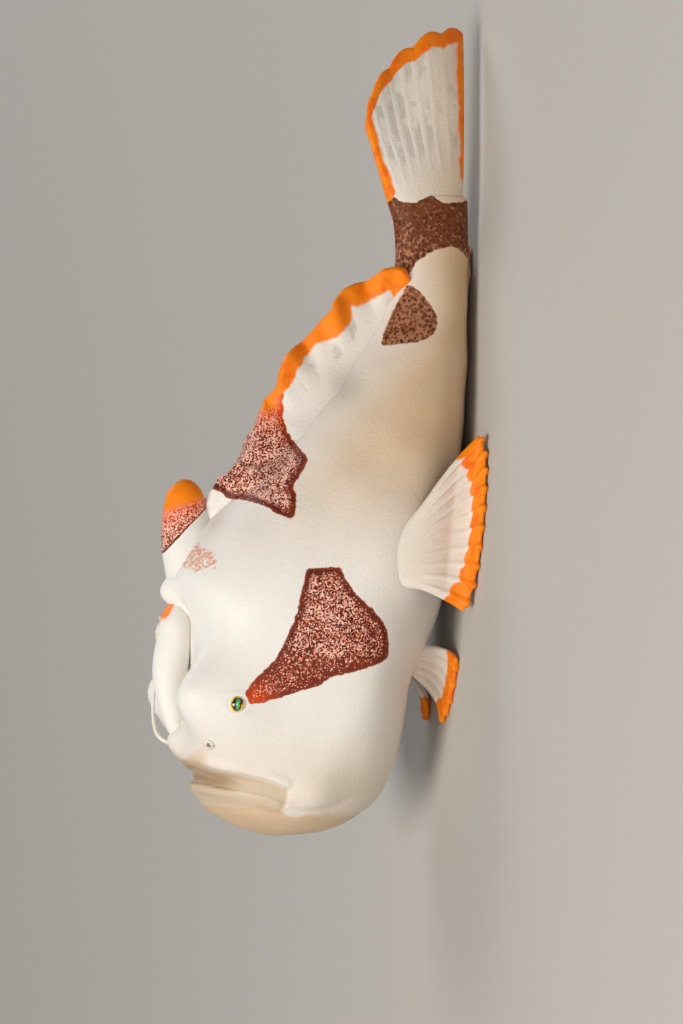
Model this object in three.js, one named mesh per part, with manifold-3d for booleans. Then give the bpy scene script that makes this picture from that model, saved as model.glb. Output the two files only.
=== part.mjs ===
// A life-size model of a young warty frogfish, about 7 cm long, sitting on its fins.
// Millimetres. +X is towards the head, +Y is the fish's left, +Z is up, and the floor is z = 0.
import * as THREE from "three";
import { mergeVertices } from "three/addons/utils/BufferGeometryUtils.js";
import Module from "manifold-3d";

const wasm = await Module();
wasm.setup();

// Driving dimensions of the whole fish.
const GAP = 0.3; // clear space between two neighbouring pieces
const HEAD_REAR_X = 14.5; // the cut between head and trunk
const TRUNK_REAR_X = -11.5; // the cut between trunk and tail stalk
const THIN = 0.26; // half thickness of a fin membrane
const RAY_RISE = 0.17; // how far a fin ray stands out of its membrane
const BEND_START_X = 0; // the body bends to its right behind this place
const BEND_RATE = 0.0026;
const FAR = 60; // past every side of the fish
const FACES = { clear: [44, 36], head: [28, 44], trunk: [16, 32], stalk: [5, 24] }; // along and round

// The fleshy body as rings from the tail to the chin. A ring runs from its back point (x, z) to its
// belly point (x, z), with its half width, the height of its widest level as a share, and how square
// it is above and below.
const RINGS = [
  { back: [-19.8, 8.0], belly: [-19.8, 1.1], wide: 1.5, level: 0.5, top: 2.0, low: 2.0 },
  { back: [-16.0, 7.3], belly: [-16.0, 0.8], wide: 2.0, level: 0.48, top: 2.0, low: 2.0 },
  { back: [-12.5, 7.3], belly: [-12.5, 0.6], wide: 2.9, level: 0.45, top: 1.9, low: 2.1 },
  { back: [-9.0, 8.5], belly: [-9.0, 0.5], wide: 4.2, level: 0.44, top: 1.8, low: 2.2 },
  { back: [-5.0, 11.0], belly: [-5.0, 0.4], wide: 5.9, level: 0.43, top: 1.8, low: 2.3 },
  { back: [-1.0, 13.8], belly: [-1.0, 0.4], wide: 7.5, level: 0.42, top: 1.8, low: 2.4 },
  { back: [3.0, 16.8], belly: [3.0, 0.4], wide: 8.8, level: 0.42, top: 1.85, low: 2.4 },
  { back: [7.0, 20.0], belly: [7.0, 0.4], wide: 9.7, level: 0.42, top: 1.95, low: 2.4 },
  { back: [11.0, 22.9], belly: [11.0, 0.5], wide: 10.2, level: 0.43, top: 2.1, low: 2.3 },
  { back: [15.0, 24.5], belly: [15.0, 0.9], wide: 10.4, level: 0.44, top: 2.3, low: 2.2 },
  { back: [18.5, 23.0], belly: [18.5, 1.9], wide: 10.4, level: 0.45, top: 2.6, low: 2.2 },
  { back: [22.0, 22.3], belly: [22.0, 3.1], wide: 10.0, level: 0.46, top: 2.8, low: 2.2 },
  { back: [25.5, 22.3], belly: [25.5, 3.3], wide: 9.4, level: 0.46, top: 2.8, low: 2.2 },
  { back: [28.6, 22.7], belly: [28.4, 3.6], wide: 8.7, level: 0.46, top: 2.5, low: 2.2 },
  { back: [31.0, 22.2], belly: [30.6, 4.2], wide: 7.9, level: 0.47, top: 2.3, low: 2.2 },
  { back: [32.9, 21.0], belly: [32.6, 5.2], wide: 7.0, level: 0.48, top: 2.2, low: 2.2 },
  { back: [34.5, 19.7], belly: [34.3, 7.0], wide: 5.8, level: 0.49, top: 2.1, low: 2.1 },
  { back: [35.5, 17.7], belly: [35.5, 9.3], wide: 4.1, level: 0.5, top: 2.0, low: 2.0 },
  { back: [36.1, 15.7], belly: [36.1, 11.6], wide: 2.2, level: 0.5, top: 2.0, low: 2.0 },
  { back: [36.35, 13.7], belly: [36.35, 13.7], wide: 0, level: 0.5, top: 2.0, low: 2.0 },
];

// Soft swellings of the skin, the same on both sides: place, how far they push the skin out along
// its normal and lift it, and their reach along x, y and z.
const SWELLINGS = [
  { at: [25.3, 8.6, 20.2], out: 0.9, lift: 0, reach: [2.9, 3.4, 2.9] }, // round the eye
  { at: [24.8, 7.2, 22.0], out: 0.5, lift: 3.1, reach: [3.7, 3.3, 3.4] }, // brow
  { at: [28.9, 0.0, 22.9], out: 0.8, lift: 0.2, reach: [1.2, 1.5, 1.2] }, // snout knob
  { at: [31.9, 0.0, 22.2], out: -0.7, lift: 0, reach: [1.3, 3.2, 1.6] }, // hollow of the upper lip
  { at: [16.4, 0.0, 24.6], out: 0.4, lift: 0.9, reach: [1.5, 1.3, 2.0] }, // nape
  { at: [23.0, 9.6, 8.0], out: 0.9, lift: 0, reach: [5.5, 4.0, 3.6] }, // cheek
  { at: [32.4, 7.6, 12.2], out: 0.8, lift: 0, reach: [2.0, 2.6, 2.6] }, // pad behind the mouth's corner
  { at: [11.2, 9.2, 7.0], out: 0.8, lift: 0, reach: [4.0, 3.5, 3.2] }, // root of the pectoral arm
];

// The line of the mouth in side view, from the top of the snout down to its corner, then the jaw's
// seam on to the throat.
const MOUTH = [[32.1, 23.4], [32.4, 20.7], [32.6, 18.5], [32.9, 16.0], [33.4, 14.2]];
const JAW_SEAM = [[33.4, 14.2], [33.8, 12.6], [33.3, 10.2], [32.0, 7.4], [30.3, 4.8], [28.6, 1.4]];
const LIP = { rise: 0.26, ahead: 0.55, reach: 0.45 }; // the lower lip's roll in front of the mouth
const FOLD = { rise: 0.26, behind: 1.85, reach: 0.45 }; // the snout's fold over the upper jaw
const CORNER_FADE = { below: 0.8, over: 1.2 }; // where the lip and fold fade out at the mouth's corner

const EYE = { at: [25.15, 19.95], radius: 0.72, sink: 0.3, lidRadius: 0.95, lidThick: 0.22, lidSink: 0.02 };
const NOSTRIL = { at: [28.8, 21.3], radius: 0.5, bore: 0.24, wall: 0.24, rise: 0.05 };

const SKIN_WHITE = 0xf1ece2;
const FIN_ORANGE = 0xf07414;
const EYE_DARK = 0x12201c;

const clamp = (v, low, high) => Math.min(high, Math.max(low, v));
const ease = (t) => {
  const c = clamp(t, 0, 1);
  return c * c * (3 - 2 * c);
};
const bendAt = (x) => -BEND_RATE * Math.max(0, BEND_START_X - x) ** 2;

// A smooth value through v0..v3 between v1 and v2, by the Catmull-Rom rule.
function through(v0, v1, v2, v3, t) {
  const a = 2 * v1;
  const b = v2 - v0;
  const c = 2 * v0 - 5 * v1 + 4 * v2 - v3;
  const d = -v0 + 3 * v1 - 3 * v2 + v3;
  return 0.5 * (a + b * t + c * t * t + d * t * t * t);
}

// One measure of the body's ring at u, where whole values of u are the rows of RINGS.
function ringMeasure(u, read) {
  const last = RINGS.length - 1;
  const i = clamp(Math.floor(u), 0, last - 1);
  const row = (k) => read(RINGS[clamp(k, 0, last)]);
  return through(row(i - 1), row(i), row(i + 1), row(i + 2), u - i);
}

// The u of the ring whose back point is at x.
function ringAt(x) {
  let low = 0;
  let high = RINGS.length - 1;
  for (let k = 0; k < 40; k++) {
    const mid = (low + high) / 2;
    if (ringMeasure(mid, (r) => r.back[0]) < x) low = mid;
    else high = mid;
  }
  return low;
}

// The smooth body before its features: u along the rings, angle round them from the left side up.
// A superellipse of squareness n has the radius (|cos|^n + |sin|^n)^(-1/n).
function plainBody(u, angle) {
  const across = Math.cos(angle);
  const up = Math.sin(angle);
  const square = ringMeasure(u, (r) => (up > 0 ? r.top : r.low));
  const radius = (Math.abs(across) ** square + Math.abs(up) ** square) ** (-1 / square);
  const level = ringMeasure(u, (r) => r.level);
  const share = level + (up > 0 ? 1 - level : level) * radius * up;
  const backX = ringMeasure(u, (r) => r.back[0]);
  const backZ = ringMeasure(u, (r) => r.back[1]);
  const bellyX = ringMeasure(u, (r) => r.belly[0]);
  const bellyZ = ringMeasure(u, (r) => r.belly[1]);
  const wide = Math.max(0, ringMeasure(u, (r) => r.wide));
  const x = bellyX + (backX - bellyX) * share;
  const y = wide * radius * across + bendAt(x);
  return new THREE.Vector3(x, y, bellyZ + (backZ - bellyZ) * share);
}

// How far a point in side view lies in front of the mouth's line, and 1 along the mouth, fading to 0
// past its corner.
function aheadOfMouth(x, z) {
  const [cornerX, cornerZ] = MOUTH.at(-1);
  const i = MOUTH.findIndex(([, low], k) => k > 0 && z >= low);
  const [[ax, az], [bx, bz]] = i > 0 ? [MOUTH[i - 1], MOUTH[i]] : MOUTH.slice(-2);
  const lineX = z < cornerZ ? cornerX : ax + ((bx - ax) * (Math.min(z, MOUTH[0][1]) - az)) / (bz - az);
  return { ahead: x - lineX, near: ease((z - cornerZ + CORNER_FADE.below) / CORNER_FADE.over) };
}

// How far the features push the skin out along its normal at a point, and how far they lift it.
function features(p) {
  const side = Math.abs(p.y);
  let out = 0;
  let lift = 0;
  for (const swelling of SWELLINGS) {
    const [x, y, z] = swelling.at;
    const [rx, ry, rz] = swelling.reach;
    const near = Math.exp(-(((p.x - x) / rx) ** 2) - ((side - y) / ry) ** 2 - ((p.z - z) / rz) ** 2);
    out += swelling.out * near;
    lift += swelling.lift * near;
  }
  const { ahead, near } = aheadOfMouth(p.x, p.z);
  const lip = LIP.rise * Math.exp(-(((ahead - LIP.ahead) / LIP.reach) ** 2));
  const fold = FOLD.rise * Math.exp(-(((ahead + FOLD.behind) / FOLD.reach) ** 2));
  return { out: out + near * (lip + fold), lift };
}

// The body's skin at u and angle, pushed out by its features and by grow.
const STEP = 0.02; // between two places on the skin, in u and in angle
function bodyPoint(u, angle, grow = 0) {
  const last = RINGS.length - 1;
  const p = plainBody(u, angle);
  const low = clamp(u - STEP, 0, last);
  const high = clamp(u + STEP, 0, last);
  const along = plainBody(high, angle).sub(plainBody(low, angle));
  const round = plainBody(u, angle + STEP).sub(plainBody(u, angle - STEP));
  const normal = round.cross(along);
  if (u > last - 1e-6 || normal.length() < 1e-9) normal.set(1, 0, 0);
  normal.normalize();
  const { out, lift } = features(p);
  p.z += lift;
  return p.addScaledVector(normal, out + grow);
}

// A closed geometry from rings of points, each ring closed on itself. An end ring of one point is a
// pole, and any other end gets a flat cap.
function loft(rings) {
  const positions = [];
  const index = [];
  const starts = rings.map((ring) => {
    const start = positions.length / 3;
    ring.forEach((p) => positions.push(p.x, p.y, p.z));
    return start;
  });
  for (let i = 0; i + 1 < rings.length; i++) {
    const [a, b] = [rings[i], rings[i + 1]];
    const n = Math.max(a.length, b.length);
    for (let j = 0; j < n; j++) {
      const k = (j + 1) % n;
      const pair = (ring, start) => (ring.length === 1 ? [start, start] : [start + j, start + k]);
      const [a0, a1] = pair(a, starts[i]);
      const [b0, b1] = pair(b, starts[i + 1]);
      if (a0 !== a1) index.push(a0, a1, b1);
      if (b0 !== b1) index.push(a0, b1, b0);
    }
  }
  const cap = (ring, start, turned) => {
    if (ring.length === 1) return;
    const centre = ring.reduce((sum, p) => sum.add(p), new THREE.Vector3()).divideScalar(ring.length);
    const c = positions.length / 3;
    positions.push(centre.x, centre.y, centre.z);
    for (let j = 0; j < ring.length; j++) {
      const [p, q] = [start + j, start + ((j + 1) % ring.length)];
      index.push(...(turned ? [c, q, p] : [c, p, q]));
    }
  };
  cap(rings[0], starts[0], true);
  cap(rings.at(-1), starts.at(-1), false);
  const g = new THREE.BufferGeometry();
  g.setAttribute("position", new THREE.Float32BufferAttribute(positions, 3));
  g.setIndex(index);
  return g;
}

// A closed geometry for a thin sheet: centre(t, r) gives its middle, t across the rays and r from
// root to margin, and half(t, r) its half thickness. Both faces are split alike.
function sheet(columns, rows, centre, half) {
  const positions = [];
  const index = [];
  const side = (rows + 1) * (columns + 1);
  const faceNormal = (t, r) => {
    const e = 0.01;
    const across = centre(Math.min(1, t + e), r).sub(centre(Math.max(0, t - e), r));
    const out = centre(t, Math.min(1, r + e)).sub(centre(t, Math.max(0, r - e)));
    return across.cross(out).normalize();
  };
  for (const sign of [1, -1]) {
    for (let j = 0; j <= columns; j++) {
      for (let i = 0; i <= rows; i++) {
        const [t, r] = [j / columns, i / rows];
        const p = centre(t, r).addScaledVector(faceNormal(t, r), sign * half(t, r));
        positions.push(p.x, p.y, p.z);
      }
    }
  }
  const at = (j, i, back) => j * (rows + 1) + i + (back ? side : 0);
  for (let j = 0; j < columns; j++) {
    for (let i = 0; i < rows; i++) {
      const corners = [[j, i], [j + 1, i], [j + 1, i + 1], [j, i + 1]];
      const [a, b, c, d] = corners.map(([m, k]) => at(m, k, false));
      index.push(a, b, c, a, c, d);
      const [e, f, g, h] = corners.map(([m, k]) => at(m, k, true));
      index.push(e, g, f, e, h, g);
    }
  }
  const rim = [];
  for (let j = 0; j < columns; j++) rim.push([j, 0, j + 1, 0]);
  for (let i = 0; i < rows; i++) rim.push([columns, i, columns, i + 1]);
  for (let j = columns; j > 0; j--) rim.push([j, rows, j - 1, rows]);
  for (let i = rows; i > 0; i--) rim.push([0, i, 0, i - 1]);
  for (const [j, i, m, k] of rim) {
    const [a, b, c, d] = [at(j, i, false), at(m, k, false), at(m, k, true), at(j, i, true)];
    index.push(a, c, b, a, d, c);
  }
  const g = new THREE.BufferGeometry();
  g.setAttribute("position", new THREE.Float32BufferAttribute(positions, 3));
  g.setIndex(index);
  return g;
}

// A geometry as a solid that can be joined and cut.
function solid(geometry) {
  const bare = geometry.index ? geometry.toNonIndexed() : geometry.clone();
  for (const name of Object.keys(bare.attributes)) if (name !== "position") bare.deleteAttribute(name);
  const merged = mergeVertices(bare, 1e-4);
  const mesh = new wasm.Mesh({
    numProp: 3,
    vertProperties: new Float32Array(merged.attributes.position.array),
    triVerts: new Uint32Array(merged.index.array),
  });
  return new wasm.Manifold(mesh);
}

// A solid's largest closed surface, as a geometry.
function largest(shape) {
  const bodies = shape.decompose().sort((a, b) => b.volume() - a.volume());
  const mesh = bodies[0].getMesh();
  const g = new THREE.BufferGeometry();
  const positions = new Float32Array(mesh.numVert * 3);
  for (let i = 0; i < mesh.numVert; i++) {
    positions.set(mesh.vertProperties.subarray(i * mesh.numProp, i * mesh.numProp + 3), i * 3);
  }
  g.setAttribute("position", new THREE.BufferAttribute(positions, 3));
  g.setIndex(new THREE.BufferAttribute(new Uint32Array(mesh.triVerts), 1));
  return g;
}

// A stretch of the body between two rings as a geometry.
function bodyStretch(fromU, toU, [count, around], grow = 0) {
  const last = RINGS.length - 1;
  const rings = [];
  for (let i = 0; i <= count; i++) {
    const u = fromU + ((toU - fromU) * i) / count;
    if (u >= last - 1e-6) {
      rings.push([bodyPoint(last, 0, grow)]);
      continue;
    }
    const ring = [];
    for (let j = 0; j < around; j++) ring.push(bodyPoint(u, (2 * Math.PI * j) / around, grow));
    rings.push(ring);
  }
  return loft(rings);
}

// A box from low to high corner as a solid.
function block(low, high) {
  const size = high.map((v, i) => v - low[i]);
  const g = new THREE.BoxGeometry(...size);
  g.translate(...low.map((v, i) => v + size[i] / 2));
  return solid(g);
}

// A flat outline of (x, z) points drawn out sideways through the whole fish, as a solid.
function sideExtrusion(points) {
  const shape = new THREE.Shape(points.map(([x, z]) => new THREE.Vector2(x, z)));
  const g = new THREE.ExtrudeGeometry(shape, { depth: FAR, bevelEnabled: false });
  g.translate(0, 0, -FAR / 2);
  g.rotateX(Math.PI / 2);
  return solid(g);
}

const underFloor = block([-FAR, -FAR, -FAR], [FAR, FAR, 0]);
const lastU = RINGS.length - 1;

// The whole body grown by the gap, to trim what grows from it.
const clearOfBody = solid(bodyStretch(0, lastU, FACES.clear, GAP));

function node(name, shape, colour, roughness = 0.55) {
  const material = new THREE.MeshStandardMaterial({ color: colour, roughness, metalness: 0 });
  const geometry = largest(shape);
  const mesh = new THREE.Mesh(geometry, material);
  mesh.name = name;
  return mesh;
}

// Where the skin is at a place seen from the side, found by walking the rings near it.
const NEARBY = { behind: 4, ahead: 3, lowest: -1.2, highest: 1.4 };
function skinAt(x, z, side) {
  let best = null;
  for (let u = ringAt(x - NEARBY.behind); u < ringAt(x + NEARBY.ahead); u += STEP) {
    for (let angle = NEARBY.lowest; angle < NEARBY.highest; angle += STEP) {
      const p = bodyPoint(u, angle);
      const d = Math.hypot(p.x - x, p.z - z);
      if (!best || d < best.d) best = { d, p, u, angle };
    }
  }
  const { p, u, angle } = best;
  const out = bodyPoint(u, angle, 1).sub(bodyPoint(u, angle, 0)).normalize();
  return { p: new THREE.Vector3(p.x, p.y * side, p.z), out: new THREE.Vector3(out.x, out.y * side, out.z) };
}

// A ring of tube on the skin, for an eyelid or a nostril's rim, facing out.
function skinRing(place, ringRadius, tubeRadius, sink, sides, tubeSides = 5) {
  const profile = [];
  for (let i = 0; i <= tubeSides; i++) {
    const a = (2 * Math.PI * i) / tubeSides;
    profile.push(new THREE.Vector2(ringRadius + tubeRadius * Math.cos(a), tubeRadius * Math.sin(a)));
  }
  const g = new THREE.LatheGeometry(profile, sides);
  g.applyQuaternion(new THREE.Quaternion().setFromUnitVectors(new THREE.Vector3(0, 1, 0), place.out));
  g.translate(...place.p.clone().addScaledVector(place.out, -sink).toArray());
  return solid(g);
}

function ball(centre, radius, turns = 12, bands = 8) {
  const g = new THREE.SphereGeometry(radius, turns, bands);
  g.translate(centre.x, centre.y, centre.z);
  return solid(g);
}

const eyePlaces = [1, -1].map((side) => skinAt(EYE.at[0], EYE.at[1], side));
const nostrilPlaces = [1, -1].map((side) => skinAt(NOSTRIL.at[0], NOSTRIL.at[1], side));
const eyeCentre = (place) => place.p.clone().addScaledVector(place.out, -EYE.sink);

// Head and lower jaw: one form, parted along the line of the mouth and the jaw's seam.
function headAndJaw() {
  let form = solid(bodyStretch(ringAt(HEAD_REAR_X + GAP / 2), lastU, FACES.head));
  for (const place of eyePlaces) {
    form = form.add(skinRing(place, EYE.lidRadius, EYE.lidThick, EYE.lidSink, 12));
    form = form.subtract(ball(eyeCentre(place), EYE.radius + GAP));
  }
  for (const place of nostrilPlaces) {
    form = form.add(skinRing(place, NOSTRIL.radius, NOSTRIL.wall, -NOSTRIL.rise, 10));
    form = form.subtract(ball(place.p.clone(), NOSTRIL.bore, 8, 6));
  }
  const line = [...MOUTH, ...JAW_SEAM];
  const ahead = (shift) => [
    ...line.map(([x, z]) => [x + shift, z]),
    [FAR, JAW_SEAM.at(-1)[1]],
    [FAR, MOUTH[0][1]],
  ];
  return {
    head: form.subtract(sideExtrusion(ahead(-GAP / 2).reverse())),
    jaw: form.intersect(sideExtrusion(ahead(GAP / 2).reverse())),
  };
}

// A rounded limb or spine: sections along a path, each with a half width along `broad` and a half
// thickness across it. The far end closes round.
const ROUND_END = { share: 0.18, crowding: 1.35 }; // the path's share in it, and how its sections crowd
function roundedLimb(path, broad, widths, thicknesses, count, around, roundEnd = true) {
  const curve = new THREE.CatmullRomCurve3(path.map((p) => new THREE.Vector3(...p)));
  const broadAxis = new THREE.Vector3(...broad).normalize();
  const sample = (list, t) => {
    const s = t * (list.length - 1);
    const i = Math.min(Math.floor(s), list.length - 2);
    const at = (k) => list[clamp(k, 0, list.length - 1)];
    return through(at(i - 1), at(i), at(i + 1), at(i + 2), s - i);
  };
  const rings = [];
  for (let i = 0; i <= count; i++) {
    const t = roundEnd ? 1 - (1 - i / count) ** ROUND_END.crowding : i / count;
    const centre = curve.getPoint(t);
    const along = curve.getTangent(t);
    const thin = new THREE.Vector3().crossVectors(along, broadAxis).normalize();
    const wide = new THREE.Vector3().crossVectors(thin, along).normalize();
    const past = clamp((t - 1 + ROUND_END.share) / ROUND_END.share, 0, 1);
    const tip = roundEnd ? Math.sqrt(1 - past ** 2) : 1;
    if (tip < 1e-3) {
      rings.push([centre]);
      continue;
    }
    const [w, h] = [sample(widths, t) * tip, sample(thicknesses, t) * tip];
    const ring = [];
    for (let j = 0; j < around; j++) {
      const a = (2 * Math.PI * j) / around;
      const p = centre.clone().addScaledVector(wide, w * Math.cos(a));
      ring.push(p.addScaledVector(thin, h * Math.sin(a)));
    }
    rings.push(ring);
  }
  return solid(loft(rings));
}

// The rise of a fin's rays at t across it: 1 on a ray, 0 between two.
const rayAt = (t, rays) => Math.max(0, Math.cos(2 * Math.PI * (t * rays - 0.5)));
const RAY_COLUMNS = 4; // columns of faces for each ray

// A round section across a fin's root: 1 in its middle, small at its two edges.
const EDGE_SHARE = 0.05;
const roundAcross = (t) => Math.sqrt(Math.max(EDGE_SHARE, 1 - (2 * t - 1) ** 2));

// The half thickness that a fin's root adds at r: all of it at 0, none from reach on.
const thickRoot = (fin, r) => (fin.rootThick - THIN) * (1 - ease(r / fin.rootReach));

// How far a fin's rays stand out at t and r: nothing at the root, then less towards the tips.
const rayRise = ({ rays, raise }, t, r) =>
  RAY_RISE * rayAt(t, rays) * ease((r - raise.from) / raise.over) * (1 - raise.fade * r);

// A fan of rays that starts along a short root and follows a path that may curve on to the floor.
// broad is the way it spreads, spread the half angle of the fan, and fall how much shorter its outer
// rays are.
const FAN = { rootReach: 0.45, scallop: 0.06, raise: { from: 0, over: 0.3, fade: 0.6 } };
const FAN_EDGE = { share: 0.55, rate: 3 }; // the fan's first and last rays stand out less
function fan(shape, path, broad) {
  const { rays, rootHalf, spread, length, fall, rows } = shape;
  const curve = new THREE.CatmullRomCurve3(path.map((p) => new THREE.Vector3(...p)));
  const total = curve.getLength();
  const broadAxis = new THREE.Vector3(...broad).normalize();
  const centre = (t, r) => {
    const side = 2 * t - 1;
    const angle = side * spread;
    const reach = length * (1 - fall * side * side) * (1 - shape.scallop * (1 - rayAt(t, rays)));
    const out = r * reach * Math.cos(angle);
    return curve.getPointAt(clamp(out / total, 0, 1))
      .addScaledVector(broadAxis, rootHalf * side + out * Math.tan(angle));
  };
  const half = (t, r) => {
    const edge = Math.min(1, FAN_EDGE.share + FAN_EDGE.rate * Math.min(t, 1 - t));
    return THIN + thickRoot(shape, r) * roundAcross(t) + rayRise(shape, t, r) * edge;
  };
  return solid(sheet(rays * RAY_COLUMNS, rows, centre, half));
}

// Third dorsal spine: a short broad lobe leaning back from the nape, grown by a clearance.
function thirdSpine(grow = 0) {
  const path = [[14.0, 0, 21.9], [11.6, 0, 23.2], [9.0, 0, 23.9], [6.2 - grow, 0, 24.1]];
  const widths = [2.4, 1.9, 1.5, 1.0].map((w) => w + grow);
  const heights = [3.0, 2.5, 1.95, 1.3].map((h) => h + grow);
  return roundedLimb(path, [0, 1, 0], widths, heights, 11, 12).subtract(clearOfBody);
}

// Soft dorsal fin: twelve rays laid back, from the back of the trunk to a ruffled margin.
const DORSAL = {
  rays: 12,
  root: [[9.6, 20.6], [6.4, 18.7], [3.0, 15.2], [-1.0, 12.2], [-5.0, 9.6], [-8.6, 7.2], [-10.4, 5.9]],
  margin: [
    [10.4, 22.5], [8.1, 22.3], [6.5, 21.5], [4.9, 20.1], [2.2, 18.8], [-0.8, 17.85], [-3.0, 17.0],
    [-4.9, 16.5], [-6.3, 15.6], [-8.0, 13.9], [-9.3, 13.0], [-11.3, 12.3], [-12.0, 10.9],
    [-12.4, 9.5], [-13.8, 8.5], [-13.8, 7.1], [-12.8, 6.0],
  ],
  rows: 6,
  rootThick: 1.5,
  rootReach: 0.75,
  rootTaper: 0.45, // how much thinner its root is at the rear end
  front: { thick: 0.7, along: 0.3, from: 0.6, over: 0.4 }, // its front end is fleshy
  raise: { from: 0.25, over: 0.2, fade: 0.5 },
  ruffles: { count: 4.5, size: 0.8, front: 0.25, rate: 1.6, power: 2.4 },
  lean: 1.6, // its rear end leans to the fish's left
};

function dorsalFin() {
  const flat = ([x, z]) => new THREE.Vector3(x, 0, z);
  const root = new THREE.CatmullRomCurve3(DORSAL.root.map(flat));
  const margin = new THREE.CatmullRomCurve3(DORSAL.margin.map(flat));
  const centre = (t, r) => {
    const p = root.getPointAt(clamp(t, 0, 1)).lerp(margin.getPointAt(clamp(t, 0, 1)), r);
    const { count, size, front, rate, power } = DORSAL.ruffles;
    const wave = Math.sin(2 * Math.PI * count * t) * size * (front + (1 - front) * ease(t * rate));
    p.y += bendAt(p.x) + wave * r ** power + DORSAL.lean * t ** 3 * r;
    return p;
  };
  const half = (t, r) => {
    const { thick, along, from, over } = DORSAL.front;
    const front = thick * (1 - ease(t / along)) * (1 - ease((r - from) / over));
    return THIN + thickRoot(DORSAL, r) * (1 - DORSAL.rootTaper * t) + front + rayRise(DORSAL, t, r);
  };
  return solid(sheet(DORSAL.rays * RAY_COLUMNS, DORSAL.rows, centre, half))
    .subtract(clearOfBody)
    .subtract(thirdSpine(GAP));
}

// Tail fin: nine rays from the end of the stalk, its lower rays curling to the fish's right.
const TAIL = {
  rays: 9,
  root: [[-20.1, 1.3], [-20.1, 8.0]],
  margin: [
    [-34.9, 1.6], [-35.2, 3.4], [-34.2, 5.6], [-32.5, 7.7],
    [-30.6, 9.3], [-28.5, 10.4], [-26.0, 10.7],
  ],
  rows: 7,
  rise: 0.95, // below 1 a ray bends up near its root
  scallop: 0.025,
  curl: { size: 3.6, power: 1.5 }, // how far its lower rays curl to the right
  wave: { size: 0.35, rate: 9 },
  rootThick: 1.25,
  rootReach: 0.35,
  raise: { from: 0.08, over: 0.15, fade: 0.5 },
};

function tailFin() {
  const margin = new THREE.CatmullRomCurve3(TAIL.margin.map(([x, z]) => new THREE.Vector3(x, 0, z)));
  const centre = (t, r) => {
    const [low, high] = TAIL.root;
    const p = new THREE.Vector3(low[0], 0, low[1] + (high[1] - low[1]) * t);
    const tip = margin.getPointAt(clamp(t, 0, 1));
    p.x += (tip.x - p.x) * r * (1 - TAIL.scallop * (1 - rayAt(t, TAIL.rays)));
    p.z += (tip.z - p.z) * r ** TAIL.rise;
    const curl = TAIL.curl.size * (1 - t) ** 2 * r ** TAIL.curl.power;
    const wave = TAIL.wave.size * r * r * Math.sin(TAIL.wave.rate * t);
    p.y = bendAt(p.x) - curl + wave;
    return p;
  };
  const half = (t, r) => THIN + thickRoot(TAIL, r) * roundAcross(t) + rayRise(TAIL, t, r);
  return solid(sheet(TAIL.rays * RAY_COLUMNS, TAIL.rows, centre, half));
}

// Anal fin: seven rays under the tail stalk, folded to the fish's right just above the floor.
const ANAL = {
  rays: 7,
  frontX: -7.6,
  rearX: -12.6,
  rootZ: 1.1,
  tipZ: 0.46,
  level: 0.35, // the share of a ray in which it comes down to its level
  sink: 0.2, // how far its root lies off the middle of the belly
  reachBack: { least: 1.89, more: 3.51 }, // of the first ray, and how much further the last one goes
  reachSide: { most: 5.5, less: 2.5 },
  fall: 0.3, // how much shorter its outer rays are
  scallop: 0.05,
  rows: 5,
  rootThick: 0.55,
  rootReach: 0.3,
  raise: { from: 0.2, over: 0.2, fade: 0.4 },
};

function analFin() {
  const centre = (t, r) => {
    const rootX = ANAL.frontX + (ANAL.rearX - ANAL.frontX) * t;
    const scallop = 1 - ANAL.scallop * (1 - rayAt(t, ANAL.rays));
    const long = r * (1 - ANAL.fall * (2 * t - 1) ** 2) * scallop;
    const x = rootX - (ANAL.reachBack.least + ANAL.reachBack.more * t) * long;
    const y = bendAt(rootX) - ANAL.sink - (ANAL.reachSide.most - ANAL.reachSide.less * t) * long;
    const z = ANAL.rootZ + (ANAL.tipZ - ANAL.rootZ) * ease(r / ANAL.level);
    return new THREE.Vector3(x, y, z);
  };
  const half = (t, r) => THIN + thickRoot(ANAL, r) + rayRise(ANAL, t, r);
  return solid(sheet(ANAL.rays * RAY_COLUMNS, ANAL.rows, centre, half)).subtract(clearOfBody);
}

// Pectoral limb: a short arm out of the flank, then a hand of ten rays that curves on to the floor.
const mirrored = (points, side, shift) => points.map(([x, y, z]) => [x + shift, y * side, z]);
const WRIST = [9.1, 10.1, 3.9];
const WRIST_FACING = [-0.28, 0.1, -0.95];
const ARM_PATH = [[12.8, 7.2, 10.5], [12.2, 8.3, 8.5], [10.9, 9.6, 6.1], [8.7, 10.3, 3.1]];
const HAND_PATH = [
  [9.3, 10.0, 4.6], [8.4, 10.1, 2.3], [7.9, 10.4, 0.9],
  [7.5, 11.3, 0.3], [7.2, 12.8, 0.2], [7.0, 14.4, 0.2],
];

const ARM = { widths: [1.2, 1.6, 2.9, 4.7], thicknesses: [2.1, 1.8, 1.4, 0.9] };
const HAND = {
  ...FAN, rays: 10, rootHalf: 4.0, spread: 0.68, length: 6.9, fall: 0.12, rows: 7, rootThick: 1.05,
};

// All the space on one side of a plane through a point, as a solid.
function beyond(point, facing) {
  const g = new THREE.BoxGeometry(FAR, FAR, FAR);
  g.translate(0, 0, FAR / 2);
  g.applyQuaternion(new THREE.Quaternion().setFromUnitVectors(new THREE.Vector3(0, 0, 1), facing));
  g.translate(point.x, point.y, point.z);
  return solid(g);
}

function arm(side, shift) {
  const path = mirrored(ARM_PATH, side, shift);
  const facing = new THREE.Vector3(...mirrored([WRIST_FACING], side, 0)[0]).normalize();
  const wrist = new THREE.Vector3(...mirrored([WRIST], side, shift)[0]).addScaledVector(facing, -GAP / 2);
  return roundedLimb(path, [1, 0, 0], ARM.widths, ARM.thicknesses, 7, 16, false)
    .subtract(clearOfBody)
    .subtract(beyond(wrist, facing));
}

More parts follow.
